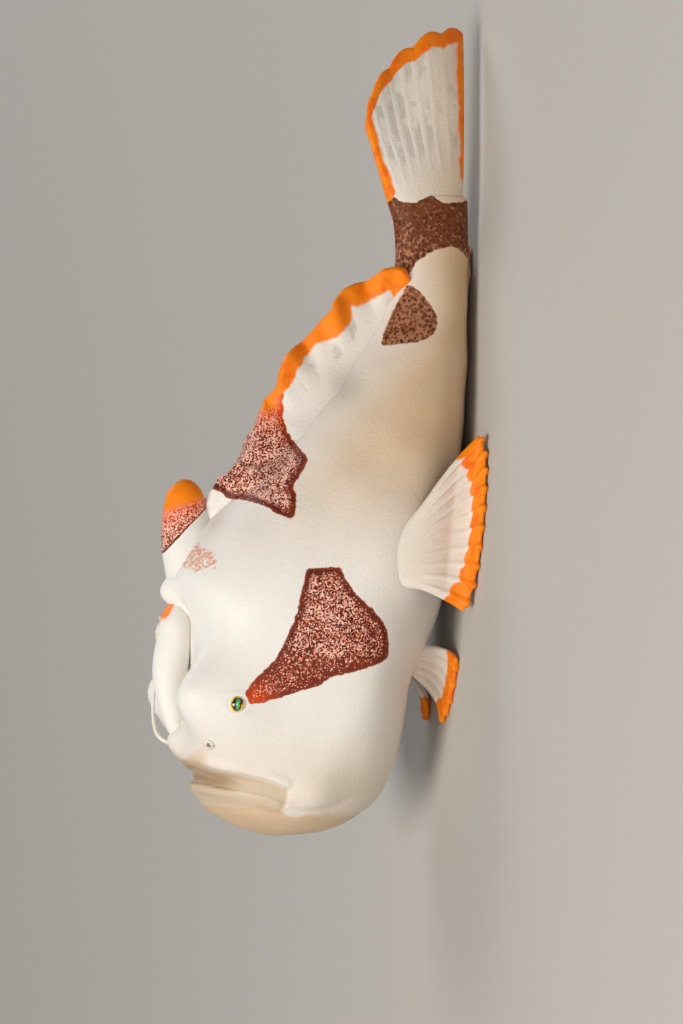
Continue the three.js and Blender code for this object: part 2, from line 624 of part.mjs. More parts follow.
function hand(side, shift) {
  const path = mirrored(HAND_PATH, side, shift);
  const facing = new THREE.Vector3(...mirrored([WRIST_FACING], side, 0)[0]).normalize();
  const wrist = new THREE.Vector3(...mirrored([WRIST], side, shift)[0]).addScaledVector(facing, GAP / 2);
  return fan(HAND, path, [1, 0, 0])
    .subtract(clearOfBody)
    .subtract(underFloor)
    .subtract(beyond(wrist, facing.clone().negate()));
}

// Pelvic fin: a short foot of five rays under the throat, with its tips on the floor.
const FOOT_PATH = [
  [19.6, 2.4, 4.6], [20.3, 3.4, 2.4], [21.2, 4.2, 0.85],
  [22.4, 5.0, 0.24], [23.8, 5.8, 0.17], [25.4, 6.7, 0.17],
];
const FOOT_ACROSS = [0.8, -0.6, 0]; // the way the left foot spreads
const FOOT = {
  ...FAN, rays: 5, rootHalf: 1.2, spread: 0.42, length: 7.4, fall: 0.12, rows: 7, rootThick: 1.1,
};

function foot(side) {
  return fan(FOOT, mirrored(FOOT_PATH, side, 0), mirrored([FOOT_ACROSS], side, 0)[0])
    .subtract(clearOfBody)
    .subtract(underFloor);
}

// Second dorsal spine: a club laid back in the hollow between the brows.
function secondSpine() {
  const path = [[28.6, 0, 22.7], [26.4, 0, 23.5], [23.2, 0, 24.0], [19.8, 0, 23.9], [16.9, 0, 24.1]];
  const widths = [0.6, 1.0, 1.45, 1.55, 1.3];
  const heights = [0.6, 1.1, 1.55, 1.5, 1.2];
  return roundedLimb(path, [0, 1, 0], widths, heights, 13, 12).subtract(clearOfBody);
}

// Fishing rod (illicium) lying back on the right of the second spine, and its lure (esca).
const ROD_PATH = [
  [29.3, -0.7, 22.9], [28.5, -1.5, 24.3], [26.4, -2.5, 24.7], [23.6, -3.0, 24.6], [21.2, -3.1, 24.3],
];
const ROD_HALF = [0.27, 0.27];
const LURE = {
  body: [[0, 0, 0], [-0.7, 0, 0.12], [-1.6, 0.05, 0.12], [-2.5, 0.12, 0], [-3.3, 0.2, -0.15]],
  widths: [0.3, 0.36, 0.4, 0.26, 0.42],
  heights: [0.3, 0.52, 0.5, 0.26, 0.26],
  threads: [[0.81, 0.25, 1.7], [0.36, 0.45, 1.9], [-0.45, 0.4, 1.9], [-0.86, 0.18, 1.6]],
  thread: [0.26, 0.26], // half thickness
  threadRoot: -0.8,
  threadBend: 1.5,
};

function rod() {
  return roundedLimb(ROD_PATH, [0, 1, 0], ROD_HALF, ROD_HALF, 12, 6, false).subtract(clearOfBody);
}

// The lure: a small flat body with a notched tail, and threads that trail from it, each given by how
// far its tip lies aside, up and back from its root.
function lure() {
  const [x, y, z] = ROD_PATH.at(-1);
  const from = (points) => points.map(([dx, dy, dz]) => [x - GAP + dx, y + dy, z + dz]);
  let form = roundedLimb(from(LURE.body), [0, 1, 0], LURE.widths, LURE.heights, 8, 8);
  for (const [aside, up, long] of LURE.threads) {
    const path = [0, 0.35, 0.7, 1].map((s) => {
      const away = s ** LURE.threadBend;
      return [LURE.threadRoot - long * s, aside * away, up * away];
    });
    form = form.add(roundedLimb(from(path), [0, 1, 0], LURE.thread, LURE.thread, 6, 6));
  }
  return form;
}

const fish = new THREE.Group();
const { head, jaw } = headAndJaw();
fish.add(node("head", head, SKIN_WHITE));
fish.add(node("lower_jaw", jaw, SKIN_WHITE));
const trunk = bodyStretch(ringAt(TRUNK_REAR_X + GAP / 2), ringAt(HEAD_REAR_X - GAP / 2), FACES.trunk);
fish.add(node("trunk", solid(trunk), SKIN_WHITE));
const stalk = bodyStretch(0, ringAt(TRUNK_REAR_X - GAP / 2), FACES.stalk);
fish.add(node("tail_stalk", solid(stalk), SKIN_WHITE));
fish.add(node("tail_fin", tailFin(), FIN_ORANGE));
fish.add(node("soft_dorsal_fin", dorsalFin(), FIN_ORANGE));
fish.add(node("anal_fin", analFin(), FIN_ORANGE));
fish.add(node("second_dorsal_spine", secondSpine(), SKIN_WHITE));
fish.add(node("third_dorsal_spine", thirdSpine(), FIN_ORANGE));
fish.add(node("illicium", rod(), SKIN_WHITE));
fish.add(node("esca", lure(), SKIN_WHITE));
const RIGHT_ARM_SHIFT = -1.6; // the right arm is set a little further back
for (const [word, side, shift] of [["left", 1, 0], ["right", -1, RIGHT_ARM_SHIFT]]) {
  const place = eyePlaces[side > 0 ? 0 : 1];
  fish.add(node(`eye_${word}`, ball(eyeCentre(place), EYE.radius), EYE_DARK, 0.08));
  fish.add(node(`pectoral_arm_${word}`, arm(side, shift), SKIN_WHITE));
  fish.add(node(`pectoral_fin_${word}`, hand(side, shift), FIN_ORANGE));
  fish.add(node(`pelvic_fin_${word}`, foot(side), FIN_ORANGE));
}

// The part's origin is the middle of its box, on the floor.
const box = new THREE.Box3().setFromObject(fish);
fish.position.set(-(box.min.x + box.max.x) / 2, -(box.min.y + box.max.y) / 2, -box.min.z);
const part = new THREE.Group();
part.add(fish);

export default part;
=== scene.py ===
# %% [markdown]
# # A young warty frogfish, life size
# A frogfish is a soft, rounded fish that walks on fins like limbs. This one is about seven
# centimetres long, white with red-brown blotches, and its fins are edged in orange. The notebook
# builds its skin, fins, spines and eyes as surfaces worked out with numpy, and then paints them
# with procedural materials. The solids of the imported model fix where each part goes.

import bpy
import numpy as np
from mathutils import Matrix, Vector


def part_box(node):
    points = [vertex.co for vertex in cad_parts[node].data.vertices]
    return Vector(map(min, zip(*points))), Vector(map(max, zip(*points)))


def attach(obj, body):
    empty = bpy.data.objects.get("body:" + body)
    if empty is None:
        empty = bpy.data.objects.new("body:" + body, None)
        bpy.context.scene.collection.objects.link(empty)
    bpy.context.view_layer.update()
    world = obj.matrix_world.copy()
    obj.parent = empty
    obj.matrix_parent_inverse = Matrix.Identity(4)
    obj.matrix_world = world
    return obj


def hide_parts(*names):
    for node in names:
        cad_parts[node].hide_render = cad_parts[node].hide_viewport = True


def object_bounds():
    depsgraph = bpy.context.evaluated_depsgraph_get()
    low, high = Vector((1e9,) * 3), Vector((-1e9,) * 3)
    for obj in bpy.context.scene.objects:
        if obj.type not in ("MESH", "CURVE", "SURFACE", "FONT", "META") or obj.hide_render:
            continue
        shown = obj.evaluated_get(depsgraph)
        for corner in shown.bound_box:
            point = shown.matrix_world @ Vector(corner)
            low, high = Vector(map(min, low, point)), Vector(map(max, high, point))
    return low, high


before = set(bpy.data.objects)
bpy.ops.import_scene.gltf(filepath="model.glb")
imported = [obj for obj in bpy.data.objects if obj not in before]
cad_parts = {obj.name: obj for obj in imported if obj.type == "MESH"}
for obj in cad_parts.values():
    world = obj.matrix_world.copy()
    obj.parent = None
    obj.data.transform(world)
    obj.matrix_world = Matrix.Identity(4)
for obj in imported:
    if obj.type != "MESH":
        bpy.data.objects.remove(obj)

MM = 0.001
cad_box = [list(corner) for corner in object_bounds()]
print("nodes to dress:", sorted(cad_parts))

# %% [markdown]
# ## The frame of the sizes
# All sizes below are millimetres, with +X towards the head, +Y to the fish's left and the floor
# at z = 0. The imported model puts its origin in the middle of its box, so one shift along X joins
# the two frames: the foremost point of the chin is the same point in both.

# %% The shift from the fish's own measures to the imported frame
CHIN_X = 36.35
SHIFT = np.array([cad_box[1][0] / MM - CHIN_X, 0.0, 0.0])
print("shift along the fish, mm:", round(float(SHIFT[0]), 3))

# %% [markdown]
# ## Camera
# In the photograph the fish clings head down to a wall. Here the wall is the floor, so the camera
# turns with it: it looks at the left side from a little above the floor, rolled until the head
# points down in the picture. A long lens keeps the side view nearly flat.

# %% Camera
IMAGE_WIDTH = 683
IMAGE_HEIGHT = 1024
PIXEL = 0.087  # millimetres of fish for each pixel
FLOOR_PIXEL = (462.4, 432.0)  # where the point x = 0 on the floor under the spine falls in the image
ROLL = np.radians(5.0)  # how far the floor's line leans in the image
CAMERA_RISE = np.radians(12.0)  # how far the camera looks down on the floor
CAMERA_DISTANCE = 1400.0
SENSOR = 36.0


def aim_camera():
    """Places the camera: the image's right and up directions are turned by ROLL from the fish's
    height and length, and the point under the image's middle is found from FLOOR_PIXEL."""
    toward = Vector((0.0, np.cos(CAMERA_RISE), np.sin(CAMERA_RISE)))
    rise = Vector((0.0, -np.sin(CAMERA_RISE), np.cos(CAMERA_RISE)))
    length = Vector((1.0, 0.0, 0.0))
    right = -np.cos(ROLL) * rise - np.sin(ROLL) * length
    up = np.sin(ROLL) * rise - np.cos(ROLL) * length
    across = (IMAGE_WIDTH / 2 - FLOOR_PIXEL[0]) * PIXEL
    down = (IMAGE_HEIGHT / 2 - FLOOR_PIXEL[1]) * PIXEL
    target = across * right - down * up + Vector(SHIFT)
    camera = bpy.data.cameras.new("camera")
    camera.sensor_fit = "VERTICAL"
    camera.sensor_height = SENSOR
    camera.lens = SENSOR * CAMERA_DISTANCE / (IMAGE_HEIGHT * PIXEL)
    camera.clip_start = 0.01
    camera.clip_end = 20.0
    holder = bpy.data.objects.new("camera", camera)
    bpy.context.collection.objects.link(holder)
    place = (target + toward * CAMERA_DISTANCE) * MM
    turn = Matrix((right, up, toward)).transposed().to_4x4()
    holder.matrix_world = Matrix.Translation(place) @ turn
    bpy.context.scene.camera = holder
    return holder


camera = aim_camera()
print("camera stands at", [round(v, 3) for v in camera.location])

# %% [markdown]
# ## Floor and light
# A museum would photograph the model on a plain pale table. The floor is a little darker than the
# fish, so that the white skin reads against it. A broad lamp above the back, a weaker one beside
# the camera and a low one from behind give soft modelling with no hard shadow.

# %% Floor and lamps
FLOOR_HALF = 1.5  # metres
FLOOR_COLOUR = (0.50, 0.47, 0.43, 1.0)
LAMPS = (  # name, place in metres, width, power and colour
    ("key", (0.16, 0.30, 0.44), 0.26, 2.4, (1.0, 0.97, 0.92)),
    ("fill", (0.14, 0.55, 0.10), 0.35, 0.85, (1.0, 0.96, 0.90)),
    ("rim", (-0.25, -0.35, 0.30), 0.25, 0.9, (0.92, 0.96, 1.0)),
)
LAMP_AIM = Vector((0.0, 0.0, 0.012))  # the middle of the fish, in metres
ROOM_COLOUR = (0.80, 0.82, 0.85, 1.0)
ROOM_STRENGTH = 0.16


def lay_floor():
    """One square sheet at z = 0."""
    corners = [(x * FLOOR_HALF, y * FLOOR_HALF, 0.0) for x, y in ((-1, -1), (1, -1), (1, 1), (-1, 1))]
    mesh = bpy.data.meshes.new("floor")
    mesh.from_pydata(corners, [], [(0, 1, 2, 3)])
    material = bpy.data.materials.new("pale floor")
    material.use_nodes = True
    shader = material.node_tree.nodes["Principled BSDF"]
    shader.inputs["Base Color"].default_value = FLOOR_COLOUR
    shader.inputs["Roughness"].default_value = 0.8
    mesh.materials.append(material)
    floor = bpy.data.objects.new("floor", mesh)
    bpy.context.collection.objects.link(floor)


def hang_lamp(name, place, size, power, colour):
    """A square lamp turned to the middle of the fish."""
    light = bpy.data.lights.new(name, "AREA")
    light.size = size
    light.energy = power
    light.color = colour
    lamp = bpy.data.objects.new(name, light)
    turn = (LAMP_AIM - Vector(place)).to_track_quat("-Z", "Y").to_matrix().to_4x4()
    lamp.matrix_world = Matrix.Translation(place) @ turn
    bpy.context.collection.objects.link(lamp)


def light_room():
    """A weak even light from all round."""
    world = bpy.data.worlds.new("soft room")
    world.use_nodes = True
    background = world.node_tree.nodes["Background"]
    background.inputs["Color"].default_value = ROOM_COLOUR
    background.inputs["Strength"].default_value = ROOM_STRENGTH
    bpy.context.scene.world = world
    bpy.context.scene.view_settings.view_transform = "Standard"


lay_floor()
for lamp in LAMPS:
    hang_lamp(*lamp)
light_room()
print("floor laid and lamps hung:", [lamp[0] for lamp in LAMPS])

# %% [markdown]
# ## The plan of the body
# The body could be sculpted, or joined from balls, but a fish is easiest to steer as rings along
# its length, as a boat is drawn from its frames. Each ring runs from a point on the back to a point
# on the belly, and has a half width, the level of its widest place and a squareness above and below.

# %% Rings
# Each row: back x, back z, belly x, belly z, half width, level of the widest place, squareness
# above it and below it.
RINGS = np.array([
    [-19.8, 8.0, -19.8, 1.1, 1.5, 0.50, 2.0, 2.0],
    [-16.0, 7.3, -16.0, 0.8, 2.0, 0.48, 2.0, 2.0],
    [-12.5, 7.3, -12.5, 0.6, 2.9, 0.45, 1.9, 2.1],
    [-9.0, 8.5, -9.0, 0.5, 4.2, 0.44, 1.8, 2.2],
    [-5.0, 11.0, -5.0, 0.4, 5.9, 0.43, 1.8, 2.3],
    [-1.0, 13.8, -1.0, 0.4, 7.5, 0.42, 1.8, 2.4],
    [3.0, 16.8, 3.0, 0.4, 8.8, 0.42, 1.85, 2.4],
    [7.0, 20.0, 7.0, 0.4, 9.7, 0.42, 1.95, 2.4],
    [11.0, 22.9, 11.0, 0.5, 10.2, 0.43, 2.1, 2.3],
    [15.0, 24.5, 15.0, 0.9, 10.4, 0.44, 2.3, 2.2],
    [18.5, 23.0, 18.5, 1.9, 10.4, 0.45, 2.6, 2.2],
    [22.0, 22.3, 22.0, 3.1, 10.0, 0.46, 2.8, 2.2],
    [25.5, 22.3, 25.5, 3.3, 9.4, 0.46, 2.8, 2.2],
    [28.6, 22.7, 28.4, 3.6, 8.7, 0.46, 2.5, 2.2],
    [31.0, 22.2, 30.6, 4.2, 7.9, 0.47, 2.3, 2.2],
    [32.9, 21.0, 32.6, 5.2, 7.0, 0.48, 2.2, 2.2],
    [34.5, 19.7, 34.3, 7.0, 5.8, 0.49, 2.1, 2.1],
    [35.5, 17.7, 35.5, 9.3, 4.1, 0.50, 2.0, 2.0],
    [36.1, 15.7, 36.1, 11.6, 2.2, 0.50, 2.0, 2.0],
    [36.35, 13.7, 36.35, 13.7, 0.0, 0.50, 2.0, 2.0],
])
BEND_RATE = 0.0026  # how quickly the tail bends to the fish's right behind x = 0
TAIL_ROUND = 1.4  # how far the rounded end of the stalk reaches into the tail fin
LAST = len(RINGS) - 1


def catmull_rom(a, b, c, d, t):
    """The smooth curve from b at t = 0 to c at t = 1, on its way from a to d."""
    return 0.5 * (2 * b + (c - a) * t + (2 * a - 5 * b + 4 * c - d) * t**2 + (3 * b - a - 3 * c + d) * t**3)


def ring_measures(u):
    """The measures of the ring at u, where whole values are the rows of RINGS."""
    i = np.clip(np.floor(u).astype(int), 0, LAST - 1)
    rows = (RINGS[np.clip(i + k, 0, LAST)] for k in (-1, 0, 1, 2))
    return catmull_rom(*rows, np.clip(u - i, 0, 1)[..., None])


def bend(x):
    """The sideways place of the spine at x: a parabola behind x = 0."""
    return -BEND_RATE * np.maximum(0, -x) ** 2


def plain_body(u, turn):
    """The smooth body. A superellipse of the ring's squareness n has the radius
    (|cos|^n + |sin|^n)^(-1/n) at each turn, and is scaled to the ring's half width and to the
    heights above and below its level. Below u = 0 the last ring shrinks to a round end."""
    back_x, back_z, belly_x, belly_z, wide, level, top, low = np.moveaxis(ring_measures(u), -1, 0)
    across, up = np.cos(turn), np.sin(turn)
    square = np.where(up > 0, top, low)
    radius = (np.abs(across) ** square + np.abs(up) ** square) ** (-1 / square)
    cap = np.clip(-u, 0, 1)
    shrink = np.sqrt(1 - cap**2)
    share = level + np.where(up > 0, 1 - level, level) * radius * up
    share = level + (share - level) * shrink
    x = belly_x + (back_x - belly_x) * share - TAIL_ROUND * cap
    y = np.maximum(wide, 0) * radius * across * shrink + bend(x)
    z = belly_z + (back_z - belly_z) * share
    return np.stack([x, y, z], -1)


body = plain_body(*np.meshgrid(np.linspace(-1, LAST, 60), np.linspace(0, 2 * np.pi, 60))).reshape(-1, 3)
print("body spans", body.min(0).round(1), "to", body.max(0).round(1))

# %% [markdown]
# ## The features of the head
# Swellings make the brows, the eye's dome, the snout's knob, the nape and the cheeks. Each is a bell
# in all three directions, so it fades into the skin with no edge.

# %% Swellings
# Each row: place x, y, z, how far it pushes the skin out, how far it lifts it, reach along x, y, z.
SWELLINGS = np.array([
    [25.3, 8.6, 20.2, 0.9, 0.0, 2.9, 3.4, 2.9],  # round the eye
    [24.8, 7.2, 22.0, 0.5, 3.1, 3.7, 3.3, 3.4],  # brow
    [28.9, 0.0, 22.9, 0.8, 0.2, 1.2, 1.5, 1.2],  # snout knob
    [16.4, 0.0, 24.6, 0.4, 0.9, 1.5, 1.1, 2.0],  # nape
    [18.0, 1.2, 23.4, -0.4, 0.0, 1.5, 0.8, 1.6],  # groove beside the second spine's tip
    [23.0, 9.6, 8.0, 0.9, 0.0, 5.5, 4.0, 3.6],  # cheek
    [32.4, 7.6, 12.2, 0.8, 0.0, 2.0, 2.6, 2.6],  # pad behind the mouth's corner
    [11.2, 9.2, 7.0, 0.8, 0.0, 4.0, 3.5, 3.2],  # root of the pectoral arm
    [31.9, 0.0, 22.2, -0.7, 0.0, 1.3, 3.2, 1.6],  # hollow of the upper lip
])


def bell(distance, reach):
    """exp(-(distance/reach)^2): 1 at the place, fading to nothing at about twice the reach."""
    return np.exp(-((distance / reach) ** 2))


def ease(value, start, end):
    """A smooth step from 0 at start to 1 at end: t*t*(3 - 2t)."""
    t = np.clip((value - start) / (end - start), 0, 1)
    return t * t * (3 - 2 * t)


print(len(SWELLINGS), "swellings")

# %% [markdown]
# ## The mouth
# The mouth runs across the face like an upturned bow, and in side view it is a line. How far a point
# lies in front of that line tells whether it is on the upper lip, in the crease or on the lower jaw.

# %% The mouth's line
MOUTH = np.array([[32.1, 23.4], [32.4, 20.7], [32.6, 18.5], [32.9, 16.0], [33.4, 14.2]])
MOUTH_END = 14.2  # the height of the mouth's corner
FOLD_BEHIND = 1.35  # how far the snout's fold lies behind the mouth's line, at least
JAW_SEAM = np.array([[33.4, 14.2], [33.8, 12.6], [33.3, 10.2], [32.0, 7.4], [30.3, 4.8], [28.6, 1.4]])


def line_distance(x, z, line):
    """The distance in side view to the nearest stretch of a line of points."""
    best = np.full(np.shape(x), np.inf)
    for (ax, az), (bx, bz) in zip(line[:-1], line[1:]):
        dx, dz = bx - ax, bz - az
        t = np.clip(((x - ax) * dx + (z - az) * dz) / (dx**2 + dz**2), 0, 1)
        best = np.minimum(best, np.hypot(x - ax - t * dx, z - az - t * dz))
    return best


def ahead_of_mouth(p):
    """How far a point lies in front of the mouth's line, how far the snout's fold lies behind that
    line there, and 1 along the mouth, fading past its corner."""
    x, z = p[..., 0], p[..., 2]
    ahead = x - np.interp(z, MOUTH[::-1, 1], MOUTH[::-1, 0])
    fold = FOLD_BEHIND + 0.4 * ease(z, 20.0, 22.5)
    return ahead, fold, ease(z, MOUTH_END - 0.25, MOUTH_END + 0.15)


def mouth_rise(p):
    """How far the lips stand out and the creases sink. The snout's skin swells over a fold, the upper
    jaw's plate lies a little sunk behind the mouth's line, the mouth itself is a narrow crease, and
    the lower lip is a low roll in front of it. Each is a bell of the distance to its own line."""
    ahead, fold, near = ahead_of_mouth(p)
    x, z = p[..., 0], p[..., 2]
    behind = ease(ahead, -fold - 0.2, -fold + 0.4)
    over = 0.20 * bell(ahead + fold + 0.50, 0.45) - 0.14 * bell(ahead + fold, 0.20)
    over = over * (1 - 0.8 * ease(z, 20.8, 22.4))
    plate = -0.12 * ease(ahead, -fold - 0.1, -fold + 0.4) * (1 - ease(ahead, -0.2, 0.1))
    left = ease(z, 17.6, 20.5)
    crease = -(0.16 + 0.14 * left) * bell(ahead, 0.13) - 0.42 * left * bell(ahead + 0.45, 0.45)
    lip = (0.10 + 0.12 * left) * bell(ahead - 0.45, 0.40)
    lip = lip - 0.05 * bell(ahead - 0.9 - 0.10 * (z - MOUTH_END), 0.25)
    end = 0.06 * bell(z - MOUTH_END + 0.35, 0.30) * behind * (1 - ease(ahead, 0.1, 0.5))
    seam = -0.14 * bell(line_distance(x, z, JAW_SEAM), 0.40) * ease(z, 4.0, 11.0) * ease(x, 30, 32)
    return near * (over + plate + crease + lip) + end + seam


print("the mouth runs from z =", MOUTH_END, "to", MOUTH[0, 1])

# %% [markdown]
# ## The finished skin
# The features push the smooth body out along its normal. A soft unevenness keeps the skin from
# looking cast, and the eyes get sockets.

# %% Points on the skin
SKIN_WAVES = (0.05, 5.0, 4)  # the soft unevenness: height, length and seed
SOCKET_RADIUS = 0.88  # of the soft rim round the eyeball
SOCKET_RIM = 0.13  # how high the rim stands
SOCKET_DEPTH = 0.60  # how deep the skin dips under the ball


def body_features(p):
    """The outward push and the lift at each point: the swellings' bells summed, and the mouth."""
    side = np.abs(p[..., 1])
    push, lift = np.zeros(side.shape), np.zeros(side.shape)
    for x, y, z, out, rise, rx, ry, rz in SWELLINGS:
        near = bell(p[..., 0] - x, rx) * bell(side - y, ry) * bell(p[..., 2] - z, rz)
        push += out * near
        lift += rise * near
    return push + mouth_rise(p), lift


def unit(vectors):
    """The same directions, all one long."""
    return vectors / np.linalg.norm(vectors, axis=-1, keepdims=True)


def soft_waves(p, size, seed, waves=7):
    """Gentle unevenness: a sum of sine waves in random directions, each about size long."""
    draw = np.random.default_rng(seed)
    total = np.zeros(p.shape[:-1])
    for _ in range(waves):
        direction = unit(draw.normal(size=3))
        total += np.sin(p @ direction * 2 * np.pi / (size * draw.uniform(0.7, 1.4)) + draw.uniform(0, 6.28))
    return total / np.sqrt(waves)


def skin_points(u, turn, sockets=()):
    """The finished skin: the smooth body, pushed along its normal by its features. The normal is the
    cross product of the surface's two directions, by small steps of u and turn. Round each socket's
    place the skin dips under the eyeball and rises in a soft rim: two bells of the distance."""
    step = 0.01
    p = plain_body(u, turn)
    along = plain_body(np.minimum(u + step, LAST), turn) - plain_body(u - step, turn)
    around = plain_body(u, turn + step) - plain_body(u, turn - step)
    normal = np.cross(around, along)
    size = np.linalg.norm(normal, axis=-1, keepdims=True)
    pole = (u[..., None] > LAST - 1e-3) | (size < 1e-9)
    normal = np.where(pole, [1.0, 0.0, 0.0], normal / np.maximum(size, 1e-9))
    push, lift = body_features(p)
    high, long, seed = SKIN_WAVES
    push = push + high * soft_waves(p, long, seed) * ease(u, 0.5, 2.0)
    smooth = p + normal * push[..., None] + lift[..., None] * [0.0, 0.0, 1.0]
    for socket in sockets:
        away = np.linalg.norm(smooth - socket, axis=-1)
        dip = SOCKET_RIM * bell(away - SOCKET_RADIUS, 0.30) - SOCKET_DEPTH * bell(away, 0.50)
        smooth = smooth + normal * dip[..., None]
    return smooth


nape = skin_points(np.array([9.4]), np.array([np.pi / 2]))[0]
print("the nape stands at", nape.round(1))

# %% [markdown]
# ## From a grid to a mesh
# Every piece of flesh is a tube: rows of points from one end to the other, in columns that close on
# themselves. A fin is such a tube pressed flat, whose columns run up one face and back down the
# other. So one function turns any grid into a closed mesh. It joins points that fall together, as at
# a pole or along a fin's edge, and drops the faces that this leaves empty.

# %% The mesh maker
JOIN_DIGITS = 4  # points that are the same to this many digits of a millimetre are joined


def closed_mesh(name, grid, fields):
    """A mesh from a grid of points [rows, columns, 3] whose columns wrap round. fields holds an
    array of the same rows and columns for each value that the material reads."""
    rows, columns = grid.shape[:2]
    index = np.arange(rows * columns).reshape(rows, columns)
    a, b = index[:-1], index[1:]
    c, d = np.roll(b, -1, axis=1), np.roll(a, -1, axis=1)
    faces = np.concatenate([np.stack([a, b, c], -1), np.stack([a, c, d], -1)]).reshape(-1, 3)
    points = grid.reshape(-1, 3)
    near = np.round(points, JOIN_DIGITS)
    _, first, same = np.unique(near, axis=0, return_index=True, return_inverse=True)
    faces = same.reshape(-1)[faces]
    faces = faces[(faces != np.roll(faces, 1, axis=1)).all(axis=1)]
    points = points[first]
    corners = points[faces]
    volume = np.einsum("ij,ij->i", corners[:, 0], np.cross(corners[:, 1], corners[:, 2])).sum()
    if volume < 0:
        faces = faces[:, ::-1]
    mesh = bpy.data.meshes.new(name)
    mesh.from_pydata((points + SHIFT) * MM, [], faces)
    mesh.shade_smooth()
    for field, values in fields.items():
        layer = mesh.attributes.new(field, "FLOAT", "POINT")
        layer.data.foreach_set("value", np.broadcast_to(values, (rows, columns)).reshape(-1)[first])
    mesh.validate()
    return mesh


def add_piece(name, grid, material, slot, replaced=(), **fields):
    """A closed mesh as an object that rides on the fish and stands for the named solids."""
    marks = {**skin_marks(grid), **fields}
    piece = bpy.data.objects.new(name, closed_mesh(name, grid, marks))
    piece.data.materials.append(material)
    bpy.context.collection.objects.link(piece)
    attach(piece, "root")
    if replaced:
        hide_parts(*replaced)
    print(f"{name}: {len(piece.data.polygons)} triangles")
    return piece

# %% [markdown]
# ## The markings
# The blotches have clear edges, so painting them needs more than noise. Each one is an outline in
# side view, and every vertex stores how far it is from the nearest outline, below zero inside it.
# The material turns that distance into a border, a rim and a speckled inside, so the edge stays
# sharp however coarse the mesh is. The right side, which the photograph hides, has the same blotches
# a little further back, as no frogfish is quite the same on both sides.

# %% Outlines of the blotches
# Each row of an outline is a place in side view: x and z.
EYE_BLOTCH = np.array([
    [23.95, 19.1], [24.15, 19.1], [24.9, 18.8], [25.0, 18.65], [24.85, 17.4], [24.7, 17.2],
    [23.9, 15.2], [22.9, 12.8], [22.1, 11.9], [21.6, 10.3], [20.6, 7.8], [19.7, 7.0], [17.6, 7.4],
    [16.5, 8.2], [15.0, 10.2], [13.8, 11.3], [12.75, 11.9], [12.65, 12.3], [12.9, 14.5], [13.1, 14.8],
    [15.4, 15.2], [17.5, 15.6], [20.0, 16.4], [21.4, 17.15], [22.9, 18.4],
])
BACK_BLOTCH = np.array([
    [6.2, 26.0], [6.8, 21.9], [7.5, 20.5], [7.6, 19.2], [8.1, 17.9], [8.8, 16.5], [8.7, 16.0],
    [6.8, 15.7], [6.0, 15.9], [3.9, 14.8], [3.1, 14.9], [1.9, 15.6], [0.3, 16.2], [-1.0, 16.3],
    [-2.7, 16.5], [-3.3, 17.2], [-3.0, 22.0],
])
SADDLE = np.array([
    [-6.9, 8.4], [-8.2, 8.1], [-10.9, 7.0], [-12.3, 6.2], [-11.1, 4.8], [-9.8, 4.0], [-8.5, 4.1],
    [-7.6, 5.1], [-7.2, 6.6],
])
TAIL_BAND = np.array([
    [-19.7, 9.6], [-19.4, 6.6], [-20.0, 5.1], [-20.2, 4.5], [-19.7, 3.5], [-19.7, 0.2], [-15.1, 0.0],
    [-15.9, 2.3], [-15.8, 3.2], [-15.3, 4.5], [-14.3, 5.7], [-13.1, 6.5], [-13.5, 9.0],
])
DORSAL_ORANGE = np.array([
    [-11.1, 7.0], [-11.7, 7.8], [-10.95, 8.9], [-10.2, 10.2], [-10.0, 11.0], [-9.0, 10.95], [-7.4, 11.9],
    [-6.5, 13.8], [-5.6, 14.4], [-4.2, 15.3], [-2.5, 16.1], [-1.7, 17.0], [-0.4, 18.0], [0.0, 19.0],
    [-6.0, 19.0], [-14.0, 15.0], [-16.0, 8.0], [-13.0, 5.0],
])


def rounded_outline(points, steps=5):
    """A closed smooth curve through the points."""
    corners = (np.roll(points, -k, axis=0)[:, None] for k in (-1, 0, 1, 2))
    return catmull_rom(*corners, np.arange(steps)[None, :, None] / steps).reshape(-1, 2)


def signed_distance(x, z, points):
    """The distance to a closed outline, below zero inside it: a point is inside when a ray from it
    along +x crosses the outline an odd number of times."""
    curve = rounded_outline(points)
    closed = np.concatenate([curve, curve[:1]])
    distance = line_distance(x, z, closed)
    inside = np.zeros(np.shape(x), bool)
    for (ax, az), (bx, bz) in zip(closed[:-1], closed[1:]):
        between = (z < az) != (z < bz)
        rise = bz - az if bz != az else 1.0
        inside ^= between & (x < ax + (z - az) * (bx - ax) / rise)
    return np.where(inside, -distance, distance)


outlines = (EYE_BLOTCH, BACK_BLOTCH, SADDLE, TAIL_BAND, DORSAL_ORANGE)
print(len(outlines), "outlines with", sum(map(len, outlines)), "places in all")

# %% [markdown]
# ## What each vertex stores
# The skin's material reads a dozen values, and each is worked out from a vertex's place. They say
# what lies there, and the material says how that looks.

# %% Stored values
CHIN_EDGE = np.array([  # how far in front of the mouth's line the tan chin begins: z and distance
    [10.3, -0.25], [11.2, 0.29], [12.2, 0.53], [12.9, 0.92], [13.7, 0.86], [14.6, 0.45], [16.1, 0.79],
    [18.3, 1.31], [21.0, 1.6],
])
NO_MARK = 9.0  # a distance at which a marking is out of reach
PINK_SPOT = (12.9, 23.3, 1.3)  # on the left side only: x, z and radius
# Painted shade: a soft grey patch in the hollow at the dorsal fin's root.
FIN_ROOT_SHADE = (-3.2, 11.4, 1.5)  # a soft grey patch on the rear flank: x, z and reach
DORSAL_LEVEL = 13.5  # the height of the dorsal fin's root at x = 0, and how fast it rises
DORSAL_SLOPE = 0.735
FAR_SHIFT = (-0.9, -0.4)  # how far the blotches lie back and down on the right side
GLOWS = (  # where a blotch glows orange: x, z, reach and strength
    (24.9, 18.2, 1.6, 1.0),
    (-1.3, 17.8, 2.1, 1.7),
)


